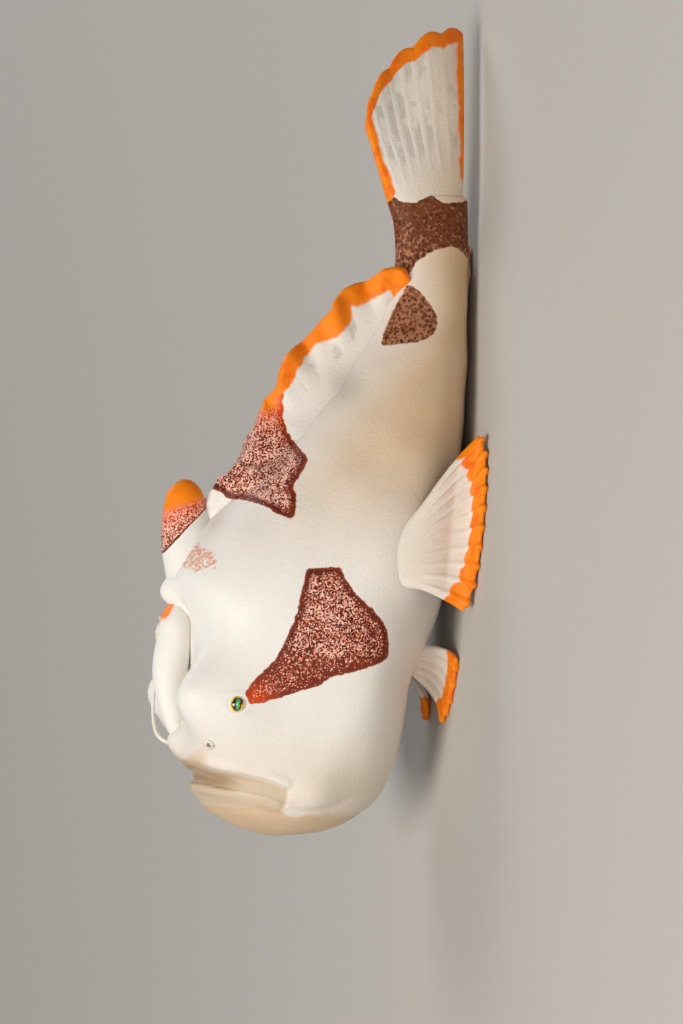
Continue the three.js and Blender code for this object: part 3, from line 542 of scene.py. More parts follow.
def lip_marks(grid):
    """How beige the jaws are, how dark the painted shade is in the creases and in the hollow under the
    snout, and how tan the painted shade makes the chin and the front of the snout. The beige ends where
    the chin begins. A painted highlight, a pale line, runs along the lower lip."""
    ahead, fold, near = ahead_of_mouth(grid)
    x, z = grid[..., 0], grid[..., 2]
    front = ease(x, 27.0, 30.0)
    # Painted highlight: a pale line along the lower lip, which lightens the beige.
    lip_highlight = ease(z, 14.3, 14.8) * (1 - ease(z, 17.9, 18.8)) * bell(ahead - 0.10, 0.09)
    start = 14.05 - 0.09 * np.minimum(ahead, 0) + 0.35 * np.maximum(ahead, 0)
    jaw = ease(z, start, start + 0.25) * (1 - 0.85 * lip_highlight)
    below = ahead - np.interp(z, CHIN_EDGE[:, 0], CHIN_EDGE[:, 1])
    soft = 1 - ease(z, 9.8, 12.4)
    chin = ease(below, -0.15 - 0.3 * soft, 0.40 + 1.1 * soft)
    jaw = jaw * ease(ahead, -fold - 0.15, -fold + 0.25) * (1 - ease(below, 0.10, 0.80))
    left = ease(z, 17.4, 19.8)
    # Painted shade: in the hollow under the snout, along the mouth's crease and under the snout's fold.
    hollow = left * bell(ahead + 0.10 + 0.30 * fold, 0.32 + 0.28 * left) * (1 - 0.5 * ease(z, 20.8, 21.8))
    line = bell(ahead, 0.08) * (0.35 + 0.4 * left)
    shade = 0.40 * bell(ahead + fold - 0.12, 0.20) * ease(z, 15.5, 18.5) * (1 - ease(z, 21.2, 22.4))
    dark = np.minimum(near * (line + shade + 0.9 * hollow), 1.0)
    # Painted shade: tan on the chin and on the front of the snout, which turns away.
    snout = ease(z, 20.2, 21.8) * ease(x - 1.6 * ease(z, 21.8, 23.0), 28.2, 30.4)
    return front * jaw, front * dark, np.maximum(0.70 * chin * front, 0.6 * snout)


def blotch_place(grid):
    """Each point's x and z in side view, shifted on the right side, where the blotches lie back."""
    far = ease(-grid[..., 1], 0.0, 3.0)
    return grid[..., 0] - far * FAR_SHIFT[0], grid[..., 2] - far * FAR_SHIFT[1]


def skin_marks(grid):
    """What the skin's material reads at each point: the distance to the blotches, which are brown, how
    thick their lace is and how much they glow, the spot, the painted shade at the dorsal fin's root,
    how much painted shade tints the white tan, the lips with the painted shade of their creases, chin
    and snout, and the fin's margin and web, which the body hasn't. The painted shade on the rear
    deepens with the depth under the dorsal fin's root, which is nearly a straight line in side view."""
    x, z = blotch_place(grid)
    back = signed_distance(x, z, BACK_BLOTCH)
    red = np.minimum(signed_distance(x, z, EYE_BLOTCH), back)
    brown = np.minimum(signed_distance(x, z, SADDLE), signed_distance(x, z, TAIL_BAND))
    spot = np.hypot(x - PINK_SPOT[0], z - PINK_SPOT[1]) - PINK_SPOT[2]
    lip, crease, tan = lip_marks(grid)
    # Painted shade, tinted tan by reflected light: it grows on the belly, on the rear flank with the depth
    # under the dorsal fin's root, and on the face's front; only the faint tone everywhere is the skin's own
    # cream.
    under = DORSAL_LEVEL + DORSAL_SLOPE * np.maximum(x, -9.0) - z
    rear = ease(-x, -16.0, 2.0) * (1 - 0.5 * ease(-x, 17.0, 24.0))
    warm = 0.06 + 0.10 * ease(-z, -16.0, -1.0) + rear * (0.12 + 0.62 * ease(under, -1.5, 5.5))
    lace = -1.3 * ease(x, 19.4, 21.2) - 0.7 * ease(-z, -12.0, -8.5)
    return {
        "blotch": np.minimum(red, brown),
        "brown": (brown < red).astype(float),
        "lace": np.where(x < 11.0, 0.2 - 1.4 * ease(-x, 13.0, 18.5), lace),
        "ember": sum(power * bell(np.hypot(x - gx, z - gz), reach) for gx, gz, reach, power in GLOWS),
        "spot": spot + NO_MARK * (grid[..., 1] < 0),
        "fin_root_shade": bell(np.hypot(x - FIN_ROOT_SHADE[0], z - FIN_ROOT_SHADE[1]), FIN_ROOT_SHADE[2]),
        "warmth": warm + 0.25 * ease(x, 26.0, 31.0),
        "tan": tan,
        "margin": NO_MARK,
        "web": 0.0,
        "lip": lip,
        "crease": crease,
    }


print("each vertex stores:", ", ".join(skin_marks(body)))

# %% [markdown]
# ## Small tools for materials
# A material is a graph of nodes. A wire stands for a value on its way through that graph, and
# arithmetic on wires adds the nodes that do it, so a material reads as a formula. What several
# materials share is a node group, which is one boxed graph that can be dropped into any material.

# %% Node helpers
class Wire:
    """A value on its way through a node graph."""

    def __init__(self, socket):
        self.socket = socket
        self.tree = socket.id_data

    def calc(self, operation, other):
        """One step of arithmetic with a number or another wire."""
        return add_node(self.tree, "ShaderNodeMath", {0: self, 1: other}, operation=operation)

    def __add__(self, other):
        return self.calc("ADD", other)

    def __sub__(self, other):
        return self.calc("SUBTRACT", other)

    def __mul__(self, other):
        return self.calc("MULTIPLY", other)

    def larger(self, other):
        return self.calc("MAXIMUM", other)

    def fade(self, start, end):
        """A smooth step from 0 at start to 1 at end."""
        inputs = {"Value": self, "From Min": start, "From Max": end}
        return add_node(self.tree, "ShaderNodeMapRange", inputs, interpolation_type="SMOOTHSTEP")

    def mix(self, first, second):
        """The first colour where the wire is 0, and the second where it is 1."""
        return add_node(self.tree, "ShaderNodeMix", {0: self, 6: first, 7: second}, 2, data_type="RGBA")


def set_inputs(node, inputs):
    """Sets inputs of a node. Each is a number, a colour or a wire."""
    for key, value in inputs.items():
        if isinstance(value, Wire):
            value.tree.links.new(value.socket, node.inputs[key])
        else:
            node.inputs[key].default_value = value


def add_node(tree, kind, inputs, output=0, **settings):
    """One node with its settings and inputs. Gives the wire from one of its outputs."""
    node = tree.nodes.new(kind)
    for key, value in settings.items():
        setattr(node, key, value)
    set_inputs(node, inputs)
    return Wire(node.outputs[output])

# %% [markdown]
# ### What a material reads
# Noise and cells give the skin irregular details, and the stored values say where they belong.

# %% Noise, cells and stored values
def grain(place, scale, detail=2.0, roughness=0.5):
    """Noise with features of about 1 / scale millimetres."""
    inputs = {"Vector": place, "Scale": scale, "Detail": detail, "Roughness": roughness}
    return add_node(place.tree, "ShaderNodeTexNoise", inputs)


def swing(place, scale, width, detail=2.0, roughness=0.5):
    """The same noise centred on zero and as wide as width."""
    return (grain(place, scale, detail, roughness) - 0.5) * width


def cells(place, scale):
    """The distance to the nearest of many scattered points, spaced about 1 / scale millimetres."""
    return add_node(place.tree, "ShaderNodeTexVoronoi", {"Vector": place, "Scale": scale}, "Distance")


def stored(tree, name):
    """A value stored at the vertices under this name."""
    return add_node(tree, "ShaderNodeAttribute", {}, "Fac", attribute_name=name)

# %% [markdown]
# ### Materials and groups
# Every material starts from the same shader, and a group is used like a function of wires.

# %% Materials and groups
def new_material(name):
    """Gives a material, its shader, and the place on the object in millimetres, so that the scales
    of noise are easy to read."""
    material = bpy.data.materials.new(name)
    material.use_nodes = True
    place = add_node(material.node_tree, "ShaderNodeTexCoord", {}, "Object")
    place = add_node(place.tree, "ShaderNodeVectorMath", {0: place, "Scale": 1 / MM}, operation="SCALE")
    return material, material.node_tree.nodes["Principled BSDF"], place


def new_group(name, values, outputs):
    """An empty node group that takes the place and the named values. Gives it and their wires."""
    group = bpy.data.node_groups.new(name, "ShaderNodeTree")
    kinds = {"Place": "NodeSocketVector", "Color": "NodeSocketColor"}
    for side, names in (("INPUT", ["Place", *values]), ("OUTPUT", outputs)):
        for socket in names:
            kind = kinds.get(socket, "NodeSocketFloat")
            group.interface.new_socket(socket, in_out=side, socket_type=kind)
    given = group.nodes.new("NodeGroupInput").outputs
    return group, *(Wire(given[name]) for name in ["Place", *values])


def close_group(group, outputs):
    """Joins the results to the group's outputs."""
    set_inputs(group.nodes.new("NodeGroupOutput"), outputs)
    return group


def use_group(group, place, *values):
    """A group dropped into the graph of the place, with its values in order. Gives its outputs."""
    inputs = dict(enumerate([place, *values]))
    node = add_node(place.tree, "ShaderNodeGroup", inputs, node_tree=group).socket.node
    return [Wire(socket) for socket in node.outputs]

# %% [markdown]
# ## Shared effects
# Frogfish skin has tiny two-pointed spines buried in it, which give it a fine, chalky tooth. The
# blotches are dark red with a lace of pinkish dots that leaves a plain rim, and the tail's band and
# saddle are browner. Painting the lace would take thousands of marks, while noise above a threshold
# gives it everywhere at once.

# %% Node groups
DEEP_RED = (0.085, 0.007, 0.002, 1.0)
RIM_RED = (0.25, 0.029, 0.004, 1.0)
EMBER_RED = (0.75, 0.075, 0.002, 1.0)
LACE_PINK = (1.00, 0.60, 0.47, 1.0)
LACE_RUST = (0.74, 0.18, 0.08, 1.0)
BAND_BROWN = (0.18, 0.045, 0.011, 1.0)
BAND_DARK = (0.075, 0.012, 0.004, 1.0)
BAND_PALE = (0.43, 0.19, 0.10, 1.0)
MARGIN_ORANGE = (0.97, 0.245, 0.001, 1.0)
MARGIN_DEEP = (0.90, 0.155, 0.001, 1.0)
MARGIN_PINK = (0.92, 0.42, 0.30, 1.0)
TOOTH_DEPTH = 0.00003  # metres that the spinules stand out


def blotch_group():
    """The blotches. A little noise frays the stored distance. The mask is a step at zero. Inside,
    noise above a threshold makes the lace, and the dots of a cell pattern reach nearer the rim. An
    ember of up to 1 reddens the ground, and above 1 it melts both ground and lace into orange."""
    group, place, distance, brown, thick, ember = new_group(
        "blotches", ["Distance", "Brown", "Lace", "Ember"], ["Color", "Mask"])
    distance = distance + swing(place, 1.6, 0.45, 3.0, 0.6)
    inner = distance.fade(-0.10, -0.28)
    middle = distance.fade(-0.25, -0.75)
    molten = ember.fade(1.0, 1.6)
    thicker = thick * 0.06 + swing(place, 1.2, 0.25)
    dots = cells(place, 3.6).fade(0.29, 0.18)
    fresh = ((grain(place, 4.0) + thicker).fade(0.38, 0.55) * middle).larger(dots * 0.6)
    pink = ember.mix(fresh.mix(LACE_RUST, LACE_PINK), MARGIN_PINK)
    lace = (grain(place, 6.3, 1.0) + thicker).fade(0.500, 0.524)
    lace = (lace * middle).larger(dots) * (inner - molten)
    clouds = (grain(place, 0.7).fade(0.4, 0.7) * 0.5).larger(thick * -0.4)
    red = clouds.mix(inner.mix(RIM_RED, DEEP_RED), RIM_RED)
    red = (ember * 0.85).mix(red, EMBER_RED)
    red = molten.mix(red, MARGIN_ORANGE)
    red = (lace * 0.95).mix(red, pink)
    paler = grain(place, 3.4, 3.0) + thick * 0.10
    band = paler.fade(0.42, 0.60).mix(BAND_BROWN, BAND_PALE)
    band = (cells(place, 2.3).fade(0.42, 0.25) * 0.8).mix(band, BAND_DARK)
    return close_group(group, {"Color": brown.mix(red, band), "Mask": distance.fade(0.05, -0.05)})


def margin_group():
    """The orange margin of a fin: a step at the stored distance's zero, frayed by noise. The orange
    deepens in places, and a thin pink line parts it from the white, but not from a blotch."""
    group, place, distance, blotch = new_group(
        "orange margin", ["Distance", "Blotch"], ["Color", "Mask"])
    distance = distance + swing(place, 0.8, 0.7)
    orange = grain(place, 0.7).fade(0.45, 0.70).mix(MARGIN_ORANGE, MARGIN_DEEP)
    line = distance.fade(-0.04, 0.04) - blotch
    return close_group(group, {"Color": line.mix(orange, MARGIN_PINK), "Mask": distance.fade(0.20, 0.02)})


def spinule_group():
    """The skin's tooth: a small dome over each scattered point, on finer and broader noise."""
    group, place = new_group("spinules", [], ["Height"])
    domes = cells(place, 3.4).fade(0.62, 0.05)
    return close_group(group, {"Height": domes + grain(place, 6.0, 3.0) * 0.8 + grain(place, 0.8) * 1.6})


def tooth(place, strength):
    """The spinules as a bump, for a shader's Normal."""
    inputs = {"Height": use_group(SPINULES, place)[0], "Distance": TOOTH_DEPTH, "Strength": strength}
    return add_node(place.tree, "ShaderNodeBump", inputs)


BLOTCHES = blotch_group()
MARGIN = margin_group()
SPINULES = spinule_group()
print("node groups:", [group.name for group in (BLOTCHES, MARGIN, SPINULES)])

# %% [markdown]
# ## The skin's material
# Body, fins and spines share one material, and only their stored values differ. The ground is a
# chalky white, with painted shade that turns it tan on the belly and the rear flank. A little light
# passes under the surface, which keeps the white soft instead of like plaster.

# %% Skin material
CHALK_WHITE = (0.86, 0.84, 0.80, 1.0)
SHADE_TAN = (0.68, 0.40, 0.155, 1.0)
LIP_BEIGE = (0.60, 0.45, 0.29, 1.0)
BLUSH = (0.78, 0.40, 0.28, 1.0)
SHADE_GREY = (0.42, 0.38, 0.31, 1.0)
CREASE_SHADE = (0.31, 0.17, 0.085, 1.0)
SKIN_DEPTH = 0.0009  # metres that light travels under the skin


def skin_material():
    """White ground, tan painted shade in clouds, the lips, the painted shade of the creases, of the folds
    of the fins' web and of the dorsal fin's root, then the pink spot, the blotches and the orange margin,
    in that order, with the spinules as bump."""
    material, shader, place = new_material("skin")
    tree = place.tree
    # Painted shade: tan on the belly, the rear flank, the chin and the snout, broken into clouds by noise.
    clouds = grain(place, 0.16).fade(0.3, 0.7) * 0.12 + 0.75
    warmth = (clouds * stored(tree, "warmth")).larger(stored(tree, "tan"))
    colour = warmth.mix(CHALK_WHITE, SHADE_TAN)
    # Painted shade: grey in the folds of the fins' web between the rays.
    pleat_shade = stored(tree, "web").fade(0.80, 1.0) * grain(place, 0.45, 3.0).fade(0.46, 0.60)
    ragged = stored(tree, "spot") + swing(place, 1.1, 1.6)
    layers = (
        (stored(tree, "lip") * 0.75, LIP_BEIGE),
        # Painted shade: brown in the mouth's creases and the hollow under the snout.
        (stored(tree, "crease") * 0.85, CREASE_SHADE),
        (pleat_shade * 0.4, SHADE_GREY),
        # Painted shade at the dorsal fin's root.
        (stored(tree, "fin_root_shade") * 0.5, SHADE_GREY),
        (ragged.fade(0.05, -0.25) * grain(place, 3.4, 1.0).fade(0.42, 0.50), BLUSH),
    )
    for share, layer in layers:
        colour = share.mix(colour, layer)
    marks = [stored(tree, name) for name in ("blotch", "brown", "lace", "ember")]
    red, red_mask = use_group(BLOTCHES, place, *marks)
    orange, orange_mask = use_group(MARGIN, place, stored(tree, "margin"), red_mask)
    colour = orange_mask.mix(red_mask.mix(colour, red), orange)
    sheen = {"Value": grain(place, 1.3).fade(0.3, 0.7), "To Min": 0.46, "To Max": 0.62}
    set_inputs(shader, {
        "Base Color": colour,
        "Normal": tooth(place, 0.5),
        "Roughness": add_node(tree, "ShaderNodeMapRange", sheen),
        "Specular IOR Level": 0.28,
        "Subsurface Weight": 0.22,
        "Subsurface Radius": (1.0, 0.6, 0.4),
        "Subsurface Scale": SKIN_DEPTH,
    })
    return material


SKIN = skin_material()
print("material:", SKIN.name)

# %% [markdown]
# ## Places on the skin
# The eyes and nostrils sit on the skin, so their places are found on it instead of guessed. Each is
# the point of a fine grid that is nearest in side view, and the way it faces is the grid's normal.

# %% Eye and nostril places
EYE_RADIUS = 0.78
FACE_GAP = 4  # how many columns of the fine grid a slope is measured over on each side
EYE_SINK = 0.30  # how deep the ball's middle lies under the skin
NOSTRIL_AT = (28.8, 21.3)
SIDES = (("left", 1), ("right", -1))
face_u, face_turn = np.meshgrid(np.linspace(10, 16, 300), np.linspace(-1.3, 1.5, 300), indexing="ij")
face_grid = skin_points(face_u, face_turn)


def skin_place(x, z, side):
    """The skin's point nearest to (x, z) in side view and its outward direction, on the given side."""
    away = np.hypot(face_grid[..., 0] - x, face_grid[..., 2] - z)
    gap = FACE_GAP
    inner = away[gap:-gap, gap:-gap]
    i, j = np.unravel_index(np.argmin(inner), inner.shape) + np.array([gap, gap])
    along = face_grid[i, j + gap] - face_grid[i, j - gap]
    out = np.cross(along, face_grid[i + gap, j] - face_grid[i - gap, j])
    out = unit(out * np.sign(out[1]))
    return face_grid[i, j] * [1, side, 1], out * [1, side, 1]


def eye_place(side_name, side):
    """The middle of the solid eyeball and the way it looks."""
    name = f"eye_{side_name}"
    low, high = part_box(name)
    middle = (np.array(low) + np.array(high)) / 2 / MM - SHIFT
    return middle, skin_place(middle[0], middle[2], side)[1]


EYES = [eye_place(*side) for side in SIDES]
print("the left eye is at", EYES[0][0].round(2), "and looks towards", EYES[0][1].round(2))

# %% [markdown]
# ## The skin of head and trunk
# One closed surface covers the head, the lower jaw, the trunk and the tail's stalk, so no seam shows
# where the solids meet. Most rings are on the head, for the lips, the brows and the eye sockets.

# %% Body skin
BODY_COLUMNS = 300
ROW_STRETCHES = [(0, 9, 95), (9, 11.5, 35), (11.5, 13, 55), (13, 17, 105), (17, LAST, 24)]
stretches = [np.linspace(start, end, rows, endpoint=False) for start, end, rows in ROW_STRETCHES]
round_end = -np.cos(np.linspace(0, np.pi / 2, 13, endpoint=False))
body_u = np.concatenate([round_end, *stretches, [LAST]])
body_turn = np.linspace(0, 2 * np.pi, BODY_COLUMNS, endpoint=False)
sockets = [middle + EYE_SINK * gaze for middle, gaze in EYES]
body_grid = skin_points(*np.meshgrid(body_u, body_turn, indexing="ij"), sockets)
add_piece("skin", body_grid, SKIN, "skin", ("head", "lower_jaw", "trunk", "tail_stalk"))

# %% [markdown]
# ## Tools for fins and limbs
# A fin is a thin double sheet held up by rays, thick and fleshy at the root in a frogfish. A place on
# it is named by two shares: t across the rays, and r from the root to the margin. The two faces stand
# apart by a half thickness that swells over each ray and shrinks to nothing at the rim, so the fin is
# one closed skin.

# %% Paths and sheets
THIN = 0.24  # half thickness of a fin membrane
RAY_RISE = 0.17  # how far a ray stands out of it
RIM = 0.035  # the share of a fin that its rounded rim takes


def smooth_path(points, steps=24):
    """A Catmull-Rom curve through the points. Gives a function from the share of its length to a
    place on it, and its length."""
    points = np.asarray(points, float)
    ends = np.concatenate([2 * points[:1] - points[1:2], points, 2 * points[-1:] - points[-2:-1]])
    corners = (ends[k:len(ends) - 3 + k][:, None] for k in range(4))
    curve = catmull_rom(*corners, np.arange(steps)[None, :, None] / steps)
    curve = np.concatenate([curve.reshape(-1, points.shape[1]), points[-1:]])
    length = np.concatenate([[0], np.cumsum(np.linalg.norm(np.diff(curve, axis=0), axis=1))])

    def at(share):
        place = np.clip(share, 0, 1) * length[-1]
        return np.stack([np.interp(place, length, axis) for axis in curve.T], -1)

    return at, length[-1]


def on_ray(t, rays):
    """1 along the middle of each ray, falling to 0 half way to the next: a cosine wave's upper half."""
    return np.maximum(0, np.cos(2 * np.pi * (t * rays - 0.5)))


def round_rim(share):
    """The half thickness beside a rim, a quarter circle over the share RIM."""
    return np.sqrt(1 - (1 - np.clip(share / RIM, 0, 1)) ** 2)


def oval(t):
    """The half thickness of an oval at the share t of its width."""
    return np.sqrt(np.maximum(0.02, 1 - (2 * t - 1) ** 2))


def cuts(t, count, start):
    """The notches of a lobed margin: 1 in each, falling to 0 at the middle of a lobe."""
    return 1 - np.abs(np.sin(np.pi * (count * t + start)))


def sheet_grid(centre, half, columns, rows):
    """A fin's two faces as one tube. The columns run up one face and back down the other. Each point
    is its centre plus or minus the half thickness along the sheet's normal. Gives the points, t and
    r."""
    round_end = RIM * (1 - np.cos(np.linspace(0, np.pi / 2, 5)))
    across = np.concatenate([round_end[:-1], np.linspace(RIM, 1 - RIM, columns), 1 - round_end[-2::-1]])
    out = np.concatenate([[0], np.linspace(0, 1 - RIM, rows), 1 - round_end[-2::-1]])
    t = np.concatenate([across, across[-2:0:-1]])
    face = np.concatenate([np.ones(len(across)), -np.ones(len(across) - 2)])
    r, t = np.meshgrid(out, t, indexing="ij")
    face = np.broadcast_to(face, t.shape)
    step = 0.004
    one_way = centre(np.minimum(t + step, 1), r) - centre(np.maximum(t - step, 0), r)
    other_way = centre(t, np.minimum(r + step, 1)) - centre(t, np.maximum(r - step, 0))
    normal = unit(np.cross(one_way, other_way))
    thick = half(t, r) * round_rim(np.minimum(t, 1 - t)) * round_rim(1 - r)
    thick[0] = 0
    return centre(t, r) + normal * (face * thick)[..., None], t, r


def web(t, r, rays):
    """How thin the fin is at a place: 1 on the membrane between two rays, 0 on a ray or the root."""
    return (1 - on_ray(t, rays)) * ease(r, 0.15, 0.45)

# %% [markdown]
# ## Fins along the back and tail
# ### The dorsal fin
# The soft dorsal fin's margin ruffles more and more towards the tail, and its root spreads down the
# flanks, so that it grows out of the back with no crease.

# %% Dorsal fin
# Roots and margins are given in side view too, from the front to the back or from low to high.
DORSAL_RAYS = 12
DORSAL_ROOT = [[9.6, 20.6], [6.4, 18.7], [3.0, 15.2], [-1.0, 12.2], [-5.0, 9.6], [-8.6, 7.2], [-10.4, 5.9]]
DORSAL_MARGIN = [
    [10.4, 22.5], [8.1, 22.3], [6.5, 21.5], [4.9, 20.1], [2.2, 18.8], [-0.8, 17.85], [-3.0, 17.0],
    [-4.9, 16.5], [-6.3, 15.6], [-8.0, 13.9], [-9.3, 13.0], [-11.3, 12.3], [-12.0, 10.9],
    [-12.4, 9.5], [-13.8, 8.5], [-13.8, 7.1], [-12.8, 6.0],
]
FLARE = 4.0  # how far the dorsal fin's root spreads down the flanks on each side
FLARE_FALL = 1.9  # the height over which it narrows to about a third
ROOT_DIP = 0.4  # how far its lowest edge dips under the skin

dorsal_root = smooth_path(DORSAL_ROOT)[0]
dorsal_margin = smooth_path(DORSAL_MARGIN)[0]


def dorsal_centre(t, r):
    """From the root curve to the margin curve, ruffled sideways by a sine that grows with r. The very
    root dips under the skin of the back, so that its edge doesn't show."""
    lobes = 0.07 * cuts(t, 6.2, 0.3) * ease(t, 0.3, 0.5) * ease(r, 0.6, 1.0)
    side_view = dorsal_root(t) + (dorsal_margin(t) - dorsal_root(t)) * (r * (1 - lobes))[..., None]
    x, z = side_view[..., 0], side_view[..., 1]
    wave = 0.8 * np.sin(2 * np.pi * 4.5 * t) + 0.22 * np.sin(2 * np.pi * 11.3 * t + 1.0)
    wave = wave * (0.25 + 0.75 * ease(t, 0, 0.6))
    y = bend(x) + wave * r**2.4 + 1.6 * t**3 * r
    return np.stack([x, y, z - ROOT_DIP * (1 - ease(r, 0.0, 0.08))], -1)


def dorsal_half(t, r):
    """The root spreads down the flanks and narrows upwards like exp(-height), so that the fin grows
    out of the back with no crease. The front is fleshy, and the rays hardly show."""
    height = r * np.linalg.norm(dorsal_margin(t) - dorsal_root(t), axis=-1)
    ends = (0.12 + 0.88 * ease(t, 0, 0.25)) * (1 - 0.75 * ease(t, 0.45, 1.0))
    root = FLARE * np.exp(-height / FLARE_FALL) * ends
    front = 0.7 * (1 - ease(t, 0, 0.3)) * (1 - ease(r, 0.6, 1.0))
    return THIN + root + front + RAY_RISE * on_ray(t, DORSAL_RAYS) * ease(r, 0.35, 0.7) * 0.15


grid, t, r = sheet_grid(dorsal_centre, dorsal_half, 12 * DORSAL_RAYS, 44)
add_piece("dorsal_fin_skin", grid, SKIN, "fins", ("soft_dorsal_fin",),
          margin=signed_distance(grid[..., 0], grid[..., 2], DORSAL_ORANGE),
          blotch=signed_distance(*blotch_place(grid), BACK_BLOTCH), brown=0.0,
          web=web(t, r, DORSAL_RAYS) * ease(t, 0.2, 0.6))

# %% [markdown]
# ### The tail fin
# The tail fin is a rounded fan whose lowest rays curl away to the far side.

# %% Tail fin
TAIL_RAYS = 9
TAIL_ROOT = ((-17.6, 1.5), (-17.6, 7.5))
TAIL_MARGIN = [
    [-34.9, 1.6], [-35.2, 3.4], [-34.2, 5.6], [-32.5, 7.7], [-30.6, 9.3], [-28.5, 10.4], [-26.0, 10.7],
]
TAIL_SPAN = (16.0, 8.5)  # its length and width, which turn r and t into millimetres
TAIL_BANDS = (1.35, 0.95, 0.55)  # how broad the orange is along its end, its top and its foot
tail_margin = smooth_path(TAIL_MARGIN)[0]


def tail_centre(t, r):
    """From the end of the stalk to the margin. Low rays, with t near 0, curl to the far side."""
    low, high = TAIL_ROOT
    tip = tail_margin(t)
    root_z = low[1] + (high[1] - low[1]) * t
    lobes = 0.035 * cuts(t, 4.7, 0.25) * ease(r, 0.7, 1.0)
    x = low[0] + (tip[..., 0] - low[0]) * r * (1 - lobes)
    z = root_z + (tip[..., 1] - root_z) * r**0.95
    y = bend(x) - 3.6 * (1 - t) ** 2 * r**1.5 + 0.35 * r * r * np.sin(9 * t)
    return np.stack([x, y, z], -1)


def tail_half(t, r):
    """An oval like the stalk's at the root, then membrane with rays."""
    root = 1.30 * (1 - ease(r, 0.10, 0.60)) * oval(t)
    return THIN + root + 0.22 * RAY_RISE * on_ray(t, TAIL_RAYS) * ease(r, 0.2, 0.4) * (1 - 0.5 * r)


grid, t, r = sheet_grid(tail_centre, tail_half, 14 * TAIL_RAYS, 60)
long, wide = TAIL_SPAN
inward = ((1 - r) * long, (1 - t) * wide, t * wide)
edge = np.min([way - band for way, band in zip(inward, TAIL_BANDS)], axis=0)
add_piece("tail_fin_skin", grid, SKIN, "fins", ("tail_fin",),
          margin=edge + 1.6 * (1 - ease(r, 0.16, 0.26)), web=web(t, r, TAIL_RAYS))

# %% [markdown]
# ### The anal fin
# The anal fin lies folded to the far side just above the floor, where the photograph doesn't show it.

# %% Anal fin
ANAL_RAYS = 7
ANAL_SPAN = 5.5  # its length
ANAL_BAND = 1.0  # how broad its orange margin is


def anal_centre(t, r):
    """Rays sweep back and to the far side from a root under the stalk, and level out."""
    root_x = -7.6 - 5.0 * t
    long = (1 - 0.3 * (2 * t - 1) ** 2) * (1 - 0.05 * (1 - on_ray(t, ANAL_RAYS)))
    x = root_x - 5.4 * (0.35 + 0.65 * t) * long * r
    y = bend(root_x) - 0.2 - 5.0 * (1.1 - 0.5 * t) * long * r
    z = 1.1 - 0.64 * ease(r, 0, 0.35) + 0.12 * np.sin(7 * t) * r
    return np.stack([x, y, z], -1)


def anal_half(t, r):
    """A thicker root, then membrane with rays."""
    root = 0.31 * (1 - ease(r, 0, 0.3))
    return THIN + root + 0.6 * RAY_RISE * on_ray(t, ANAL_RAYS) * ease(r, 0.2, 0.4)


grid, t, r = sheet_grid(anal_centre, anal_half, 12 * ANAL_RAYS, 30)
add_piece("anal_fin_skin", grid, SKIN, "fins", ("anal_fin",),
          margin=(1 - r) * ANAL_SPAN - ANAL_BAND, blotch=NO_MARK, web=web(t, r, ANAL_RAYS))

# %% [markdown]
# ## The limbs
# A frogfish's pectoral fin sits at the end of an arm, like a hand on a short forearm. The arm leaves
# the flank behind the cheek and bends down, and the hand fans out flat on the floor. The pelvic fins
# under the throat are small feet. Arm and hand share one skin, and the rays swell out of the flesh.

# %% Pectoral and pelvic limbs
ARM_PATH = [
    [12.8, 7.2, 10.5], [12.2, 8.3, 8.5], [10.9, 9.6, 6.1], [9.4, 10.1, 4.1], [8.4, 10.15, 2.3],
    [7.9, 10.45, 0.95], [7.5, 11.3, 0.36], [7.2, 12.8, 0.26], [7.0, 14.4, 0.26],
]
FOOT_PATH = [
    [19.6, 2.4, 4.6], [20.3, 3.4, 2.4], [21.2, 4.2, 0.9], [22.4, 5.0, 0.3], [23.8, 5.8, 0.24],
    [25.4, 6.7, 0.24],
]
# Millimetres along the path, the fan's half angle in radians, half widths and half thicknesses at
# even steps from the root to the wrist, and how broad the orange margin is.
PECTORAL = {
    "path": ARM_PATH, "broad": (1.0, 0.0, 0.0), "rays": 10, "wrist": 7.2, "length": 6.9,
    "spread": 0.68, "half_widths": [1.2, 1.6, 2.6, 4.1], "half_thick": [1.9, 1.8, 1.4, 0.9],
    "band": 1.9,
}
PELVIC = {
    "path": FOOT_PATH, "broad": (0.8, -0.6, 0.0), "rays": 5, "wrist": 1.6, "length": 5.8,
    "spread": 0.42, "half_widths": [1.3, 1.3, 1.4, 1.5], "half_thick": [1.2, 1.1, 0.9, 0.7],
    "band": 1.5,
}
FAR_ARM_SHIFT = -1.6  # the right arm reaches this much further back
LOWEST = 0.012  # the height at which the fins rest, a hair over the floor
# Painted shade: the limbs are tinted tan all over.
LIMB_WARM_SHADE = 0.32
# Painted shade: how much grey shows in the folds of a limb's web.
LIMB_WEB = 0.87  # how much of the web's pleats shows on a limb


